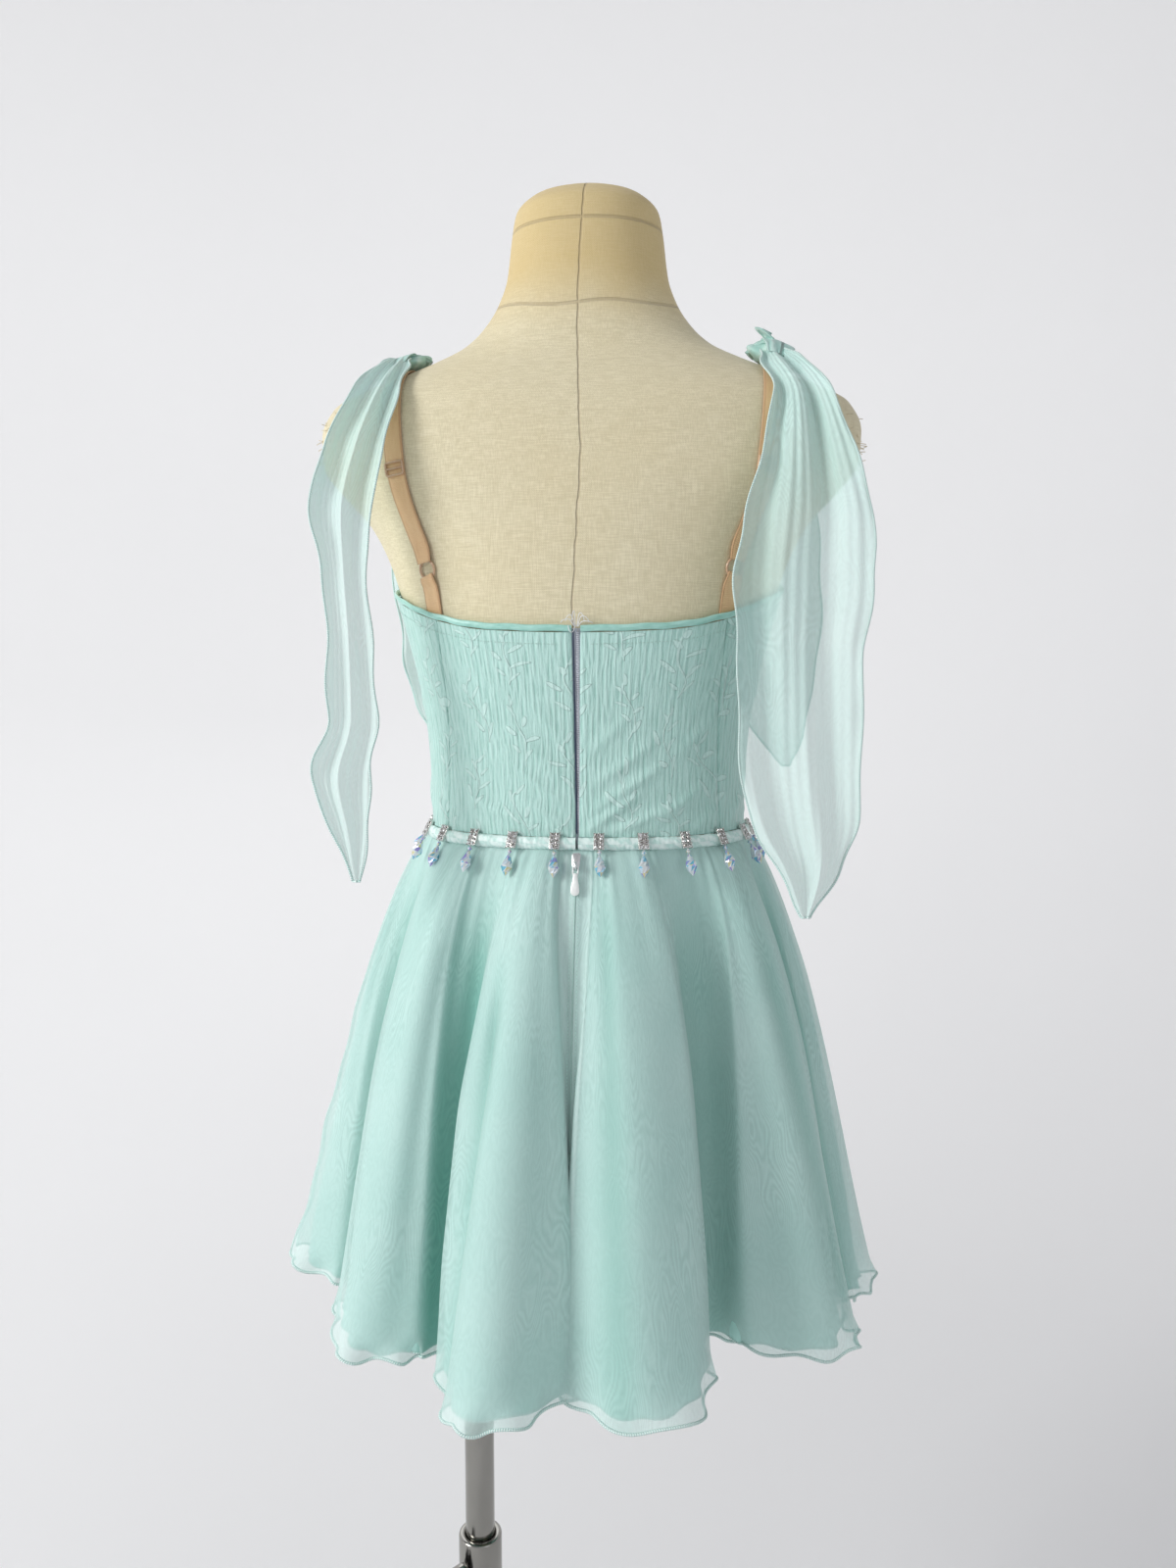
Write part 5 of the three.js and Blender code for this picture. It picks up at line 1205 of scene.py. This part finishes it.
def strap_band(side, run, count, low):
    """Elastic laid along a run from its low end, drawn in a little where it turns through the ring."""
    tilt = np.linspace(low, run[-1][0], count)
    points, normal = shoulder_point(side, read_table(run, 1, tilt), tilt, read_table(run, 2, tilt))
    across = np.cross(np.gradient(points, axis=0), normal)
    across /= np.linalg.norm(across, axis=1, keepdims=True)
    wide = (14.4 - 3.0 * np.exp(-((tilt - RING_TILT) / 7.0) ** 2))[:, None]
    section = [(-0.5, 0.3), (-0.47, 0.02), (0, 0), (0.47, 0.02), (0.5, 0.3), (0.5, 0.7), (0.46, 0.98),
               (0.3, 1.0), (0.15, 0.97), (0, 1.0), (-0.15, 0.97), (-0.3, 1.0), (-0.46, 0.98), (-0.5, 0.7)]
    grid = np.stack([points + across * (w * wide) + normal * t for w, t in section], 1)
    along = np.concatenate(([0], np.cumsum(np.linalg.norm(np.diff(points, axis=0), axis=1))))
    u = np.array([w * 12.0 for w, t in section])
    uv = np.stack(np.broadcast_arrays(u[None, :], along[:, None]), -1)
    return capped(as_grid(grid, False, True, uv), len(section))


def on_strap(shape, side, tilt, off):
    """Shape set on the strap at a tilt, with its Y along the strap and its Z away from the form."""
    here, normal = shoulder_point(side, read_table(STRAP_RUN, 1, tilt), tilt, off)
    ahead, _ = shoulder_point(side, read_table(STRAP_RUN, 1, tilt + 2), tilt + 2, off)
    up = ahead - here
    up /= np.linalg.norm(up)
    across = np.cross(up, normal)
    across /= np.linalg.norm(across)
    facing = np.cross(across, up)
    return placed(shape, np.stack((across, up, facing), -1), here)


elastic = start_skin("satin_elastic")
u, v = map_place()
rib = (v * 5.2).sin()
edge = u.abs().ramp(4.6, 5.2)
tint = mixed(noise(u * 0.3, v * 0.06, 1.0), (0.74, 0.44, 0.215), (0.87, 0.61, 0.34))
finish_skin(elastic, mixed(edge * 0.5, tint, (0.38, 0.21, 0.11)), 0.34 + edge * 0.25,
            rib * 0.4 + noise(u * 1.5, v * 0.3), 0.00012, Sheen_Weight=0.2)
fitting = speckled("strap_fitting", (0.52, 0.33, 0.20), (0.66, 0.45, 0.30), 0.25, 0.5, Coat_Weight=0.6)

turn_ring = np.arange(0, 64) / 64 * 2 * math.pi
circle = np.stack((6.4 * np.cos(turn_ring), 6.4 * np.sin(turn_ring), np.zeros(64)), -1)
frame_line = []
for corner, (x, y) in enumerate(((5.4, 3.0), (-5.4, 3.0), (-5.4, -3.0), (5.4, -3.0))):
    for a in np.linspace(0, math.pi / 2, 7) + corner * math.pi / 2:
        frame_line.append((x + 1.3 * math.cos(a), y + 1.3 * math.sin(a), 0.75))
adjuster = [tube(frame_line, 0.72, 10, closed=True),
            tube([(-6.4, 0, 0.75), (0, 0, 0.75), (6.4, 0, 0.75)], 0.7, 10)]
straps = {}
for name, side in (("left", 1), ("right", -1)):
    for kind, run, count, low, long, held in (("strap", STRAP_RUN, 200, -22.6, 0.390, "stretched"),
                                              ("strap_loop", LOOP_RUN, 30, -49.0, 0.036, "folded")):
        band = piece(f"{kind}_{name}_elastic", [strap_band(side, run, count, low)], elastic, "figure",
                     [f"{kind}_{name}"])
        straps.setdefault(name, band)
    ring = on_strap(tube(circle, 0.9, 12, closed=True), side, RING_TILT, 0.45 + 0.9)
    piece(f"strap_ring_{name}_finish", [ring], fitting, "figure", [f"strap_ring_{name}"])
    shapes = [on_strap(part, side, ADJUSTER_TILT, 2.4) for part in adjuster]
    piece(f"strap_adjuster_{name}_finish", shapes, fitting, "figure", [f"strap_adjuster_{name}"])


# Shoulder scarves: a bias strip of sheer chiffon a side, tied round the strap, with a rolled overlocked
# edge. The knot is a lump of wrapped cloth; one tail hangs at the back and one at the front.

scarf_skin = skirt_skin("scarf_chiffon", (0.520, 0.780, 0.730), (0.680, 0.870, 0.835), (0.30, 0.60, 0.53),
                        0.60, 0.04, 0.34)
knot_skin = start_skin("knot_chiffon")
u, v = map_place()
pleat = (u * 0.75 + noise(u * 0.1, v * 0.06) * 7.0).sin()
# Painted highlight: the knot's pleat ridges are painted paler.
tint = mixed((pleat * 0.4 + noise(u * 0.3, v * 0.1)).ramp(0.0, 1.2), (0.42, 0.71, 0.65), (0.64, 0.86, 0.81))
finish_skin(knot_skin, tint, 0.6, pleat, 0.0003, Sheen_Weight=0.3, Alpha=0.93)

# Tails, from the knot down: height from the waist, outer edge, inner edge and how far back it hangs
TAILS = {
    "scarf_left_back_tail": [
        (332, 136, 122, 30), (322, 143, 120, 45), (300, 153, 121, 66), (262, 166, 127, 84),
        (222, 175, 133, 91), (180, 168, 138, 92), (130, 165, 134, 94), (84, 165, 131, 96),
        (46, 176, 135, 100), (12, 163, 136, 104), (-24, 147, 142, 108)],
    "scarf_right_back_tail": [
        (332, -137, -121, 30.2), (322, -148, -120, 45), (298, -163, -127, 66), (254, -178, -119, 84),
        (210, -189, -108, 92), (170, -190, -102, 94), (125, -184, -105, 95), (72, -184, -106, 97),
        (20, -183, -114, 101), (-12, -172, -132, 107), (-42, -153, -147, 112)],
    "scarf_left_front_tail": [
        (334, 136, 122, -4.9), (324, 143, 120, -41), (296, 156, 120, -71), (250, 168, 116, -90),
        (200, 170, 108, -98), (156, 163, 104, -99), (118, 160, 107, -98), (84, 150, 118, -97),
        (62, 138, 132, -97)],
    "scarf_right_front_tail": [
        (334, -137, -121, -5.5), (324, -146, -120, -41), (296, -158, -121, -71), (250, -170, -117, -90),
        (200, -176, -110, -98), (150, -178, -106, -99), (104, -172, -110, -99), (66, -166, -126, -98),
        (38, -156, -150, -98)]}


def tail_grid(rows, seed):
    """Hanging tail with soft folds that turn as they fall, and a fluttering edge."""
    rows = np.column_stack((np.arange(len(rows)), rows))
    step = np.linspace(0, len(rows) - 1, 170)
    up, outer, inner, back = (read_table(rows, k, step)[:, None] for k in (1, 2, 3, 4))
    step = step[:, None]
    share = np.linspace(0, 1, 54)[None, :]
    wide = np.abs(outer - inner)
    depth = np.minimum(5, wide * 0.12)
    twist = 0.42 * step + 0.9 * np.sin(step * 0.55 + seed)
    wave = depth * np.sin(2 * math.pi * (1.6 * share + 0.3 * share ** 2) + twist)
    wave = wave + depth * 0.3 * np.sin(2 * math.pi * (3.7 * share + 0.07 * step) + seed)
    wave = wave + 0.12 * depth * np.sin(2 * math.pi * 11 * share + step * 0.7 + seed * 2)
    edge = np.exp(-share / 0.05) + np.exp(-(1 - share) / 0.05)
    flutter = edge * 1.5 * np.sin(step * 4.3 + 1.3 * np.sin(step * 1.7 + seed)) * np.minimum(wide / 30, 1)
    x = outer + (inner - outer) * share + 0.8 * edge * np.sin(step * 5.1 + seed)
    grid = np.stack(np.broadcast_arrays(x, back + wave + flutter, WAIST + up), -1)
    length = np.concatenate(([0], np.cumsum(np.linalg.norm(np.diff(grid[:, 27], axis=0), axis=1))))
    uv = np.stack(np.broadcast_arrays(share * 62, length[:, None]), -1)
    return grid, uv


tail_cuts = [(0.077, 0.399, 0.0213), (0.113, 0.417, 0.0344), (0.094, 0.329, 0.0216), (0.098, 0.358, 0.0245)]
for seed, ((name, rows), (wide, long, cut_area)) in enumerate(zip(TAILS.items(), tail_cuts)):
    grid, uv = tail_grid(rows, seed * 1.7)
    tail = piece(name + "_cloth", [as_grid(grid, uv=uv)], scarf_skin, "figure", [name])
    border = np.concatenate((grid[:, 0], grid[-1, 1:-1], grid[::-1, -1]))
    rolled = piece(name + "_rolled_edge", [tube(border, 0.75, 6)], overlock, "figure", ())
    held_by = straps["left" if "left" in name else "right"]


KNOT_FOOT = 9.6


def knot_lump(seed):
    """Ridged lump of cloth under the wraps, flat where it lies on the strap."""
    lift = np.linspace(0.02, 1, 40)[:, None] * math.pi
    angle = np.arange(0, 97)[None, :] / 96 * 2 * math.pi
    ridge = (1 + 0.09 * np.cos(4 * angle + 1.5 * lift * 7 / math.pi)
             + 0.02 * np.sin(9 * angle + 3 * lift + seed))
    x = 19 * np.sin(lift) * np.cos(angle) * ridge
    y = 16 * np.sin(lift) * np.sin(angle) * ridge
    z = np.maximum(-12 * np.cos(lift), -KNOT_FOOT)
    return as_grid(np.stack(np.broadcast_arrays(x, y, z), -1))


def wrap_roll(stops, radius, seed, flat):
    """Pleated band of cloth laid along a path over the knot."""
    path = curve_through(stops, 60)
    t = np.linspace(0, 1, 60)
    size = radius * (0.75 + 0.35 * np.sin(math.pi * t))
    points, faces, uv = tube(path, size, 28, flat=flat, up=[0, 0, 1.0])
    ring = points.reshape(60, 28, 3)
    middle = ring.mean(1, keepdims=True)
    angle = np.arange(28) / 28 * 2 * math.pi
    pleats = 1 + 0.07 * np.sin(angle * 5 + seed) + 0.05 * np.sin(angle * 3 + t[:, None] * 6 + seed)
    return (middle + (ring - middle) * pleats[..., None]).reshape(-1, 3), faces, uv


# Wraps over each knot: path, half-width and how flat it lies
wraps = {
    "left": [([(-17, -5, -6), (-10, -3, 7), (0, 0, 11), (10, 3, 7), (17, 6, -6)], 11.0, 0.32),
             ([(4, 13, 2), (2, 4, 11), (0, -6, 12), (-1, -15, 7), (-2, -23, -3)], 10.0, 0.34),
             ([(-8, 12, 4), (-5, 2, 11.5), (-3, -8, 10), (-2, -18, 3)], 6.0, 0.5)],
    "right": [([(-17, 5, -6), (-10, 3, 8), (0, 0, 12), (10, -3, 8), (18, -6, -6)], 11.5, 0.32),
              ([(-4, 13, 2), (-2, 4, 12), (0, -6, 13), (1, -15, 8), (2, -24, -3)], 10.5, 0.34),
              ([(8, 10, 5), (5, 0, 13), (3, -9, 11), (3, -19, 3)], 6.5, 0.5),
              ([(-3, -4, 10), (-8, -7, 17), (-13, -4, 22), (-12, 2, 21), (-5, 4, 13)], 5.5, 0.3)]}
for name, side, low in (("left", 1, 0.42), ("right", -1, 0.62)):
    shapes = [knot_lump(side)]
    shapes += [wrap_roll(stops, radius, i + side, flat)
               for i, (stops, radius, flat) in enumerate(wraps[name])]
    shapes = [placed(shape, np.diag([1.0, 1.0, low])) for shape in shapes]
    shapes = [on_strap(shape, side, KNOT_TILT, 2.4 + KNOT_FOOT * low) for shape in shapes]
    piece(f"scarf_{name}_knot_cloth", shapes, knot_skin, "figure", [f"scarf_{name}_knot"])


# Studio: a plain pale floor that sweeps up into a wall all round and glows unevenly as painted light, wide
# soft lamps, and the camera behind the dress, a little to the wearer's right, level with the bodice and
# tipped down.

wall_skin = start_skin("studio_paint")
x, y, z = solid_place()
paint = mixed(noise(x * 0.001, y * 0.001, z * 0.001), (0.69, 0.69, 0.70), (0.73, 0.73, 0.74))
# Painted light: the floor and wall glow, brightest beyond the dress towards its front and the wearer's left
# and near dark behind the camera, and the glow lights the dress too.
glow = mixed((y - x * 0.5).ramp(-3800.0, 1400.0), (1.0, 1.0, 1.0), (0.03, 0.03, 0.03))
finish_skin(wall_skin, paint, 0.9, Emission_Color=glow, Emission_Strength=0.31)
FLAT_TO, BEND, WALL_TOP = 1200, 2100, 4300
bend = np.linspace(0, math.pi / 2, 48) ** 1.2 / (math.pi / 2) ** 0.2
sweep = [(r, -0.4) for r in (0, 500, 1000, FLAT_TO)]
sweep += [(FLAT_TO + BEND * math.sin(a), BEND - BEND * math.cos(a)) for a in bend[1:]]
sweep.append((FLAT_TO + BEND, WALL_TOP))
joined("studio_floor", [turned(sweep, 96)], wall_skin)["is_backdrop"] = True

world = bpy.data.worlds.new("studio_air")
world.use_nodes = True
air = world.node_tree.nodes["Background"].inputs
air["Color"].default_value = (0.96, 0.97, 1.0, 1)
air["Strength"].default_value = 0.36
scene.world = world


def lamp(name, place, size, power, colour):
    """Soft lamp aimed at the waist."""
    data = bpy.data.lights.new(name, "AREA")
    data.shape = "RECTANGLE"
    data.size, data.size_y = size
    data.energy = power
    data.color = colour
    made = bpy.data.objects.new(name, data)
    made.location = place
    aim = Vector((0, 0, 0.95)) - Vector(place)
    made.rotation_euler = aim.to_track_quat("-Z", "Y").to_euler()
    made.visible_camera = False
    scene.collection.objects.link(made)
    made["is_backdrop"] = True


lamp("window_lamp", (2.5, 1.5, 2.2), (1.1, 1.5), 65, (1.0, 0.995, 0.98))
lamp("fill_lamp", (-1.7, 1.9, 1.5), (1.2, 1.2), 4, (0.95, 0.97, 1.0))
lamp("front_lamp", (0.9, -2.0, 2.2), (1.4, 1.4), 5, (0.98, 0.99, 1.0))

camera = bpy.data.objects.new("camera", bpy.data.cameras.new("camera"))
camera.data.lens = 27
camera.data.sensor_width = 36
camera.location = (-0.0754, 0.8617, 1.068)
camera.rotation_euler = (math.radians(90 - 5.71), 0, math.radians(185))
scene.collection.objects.link(camera)
scene.camera = camera

low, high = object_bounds()
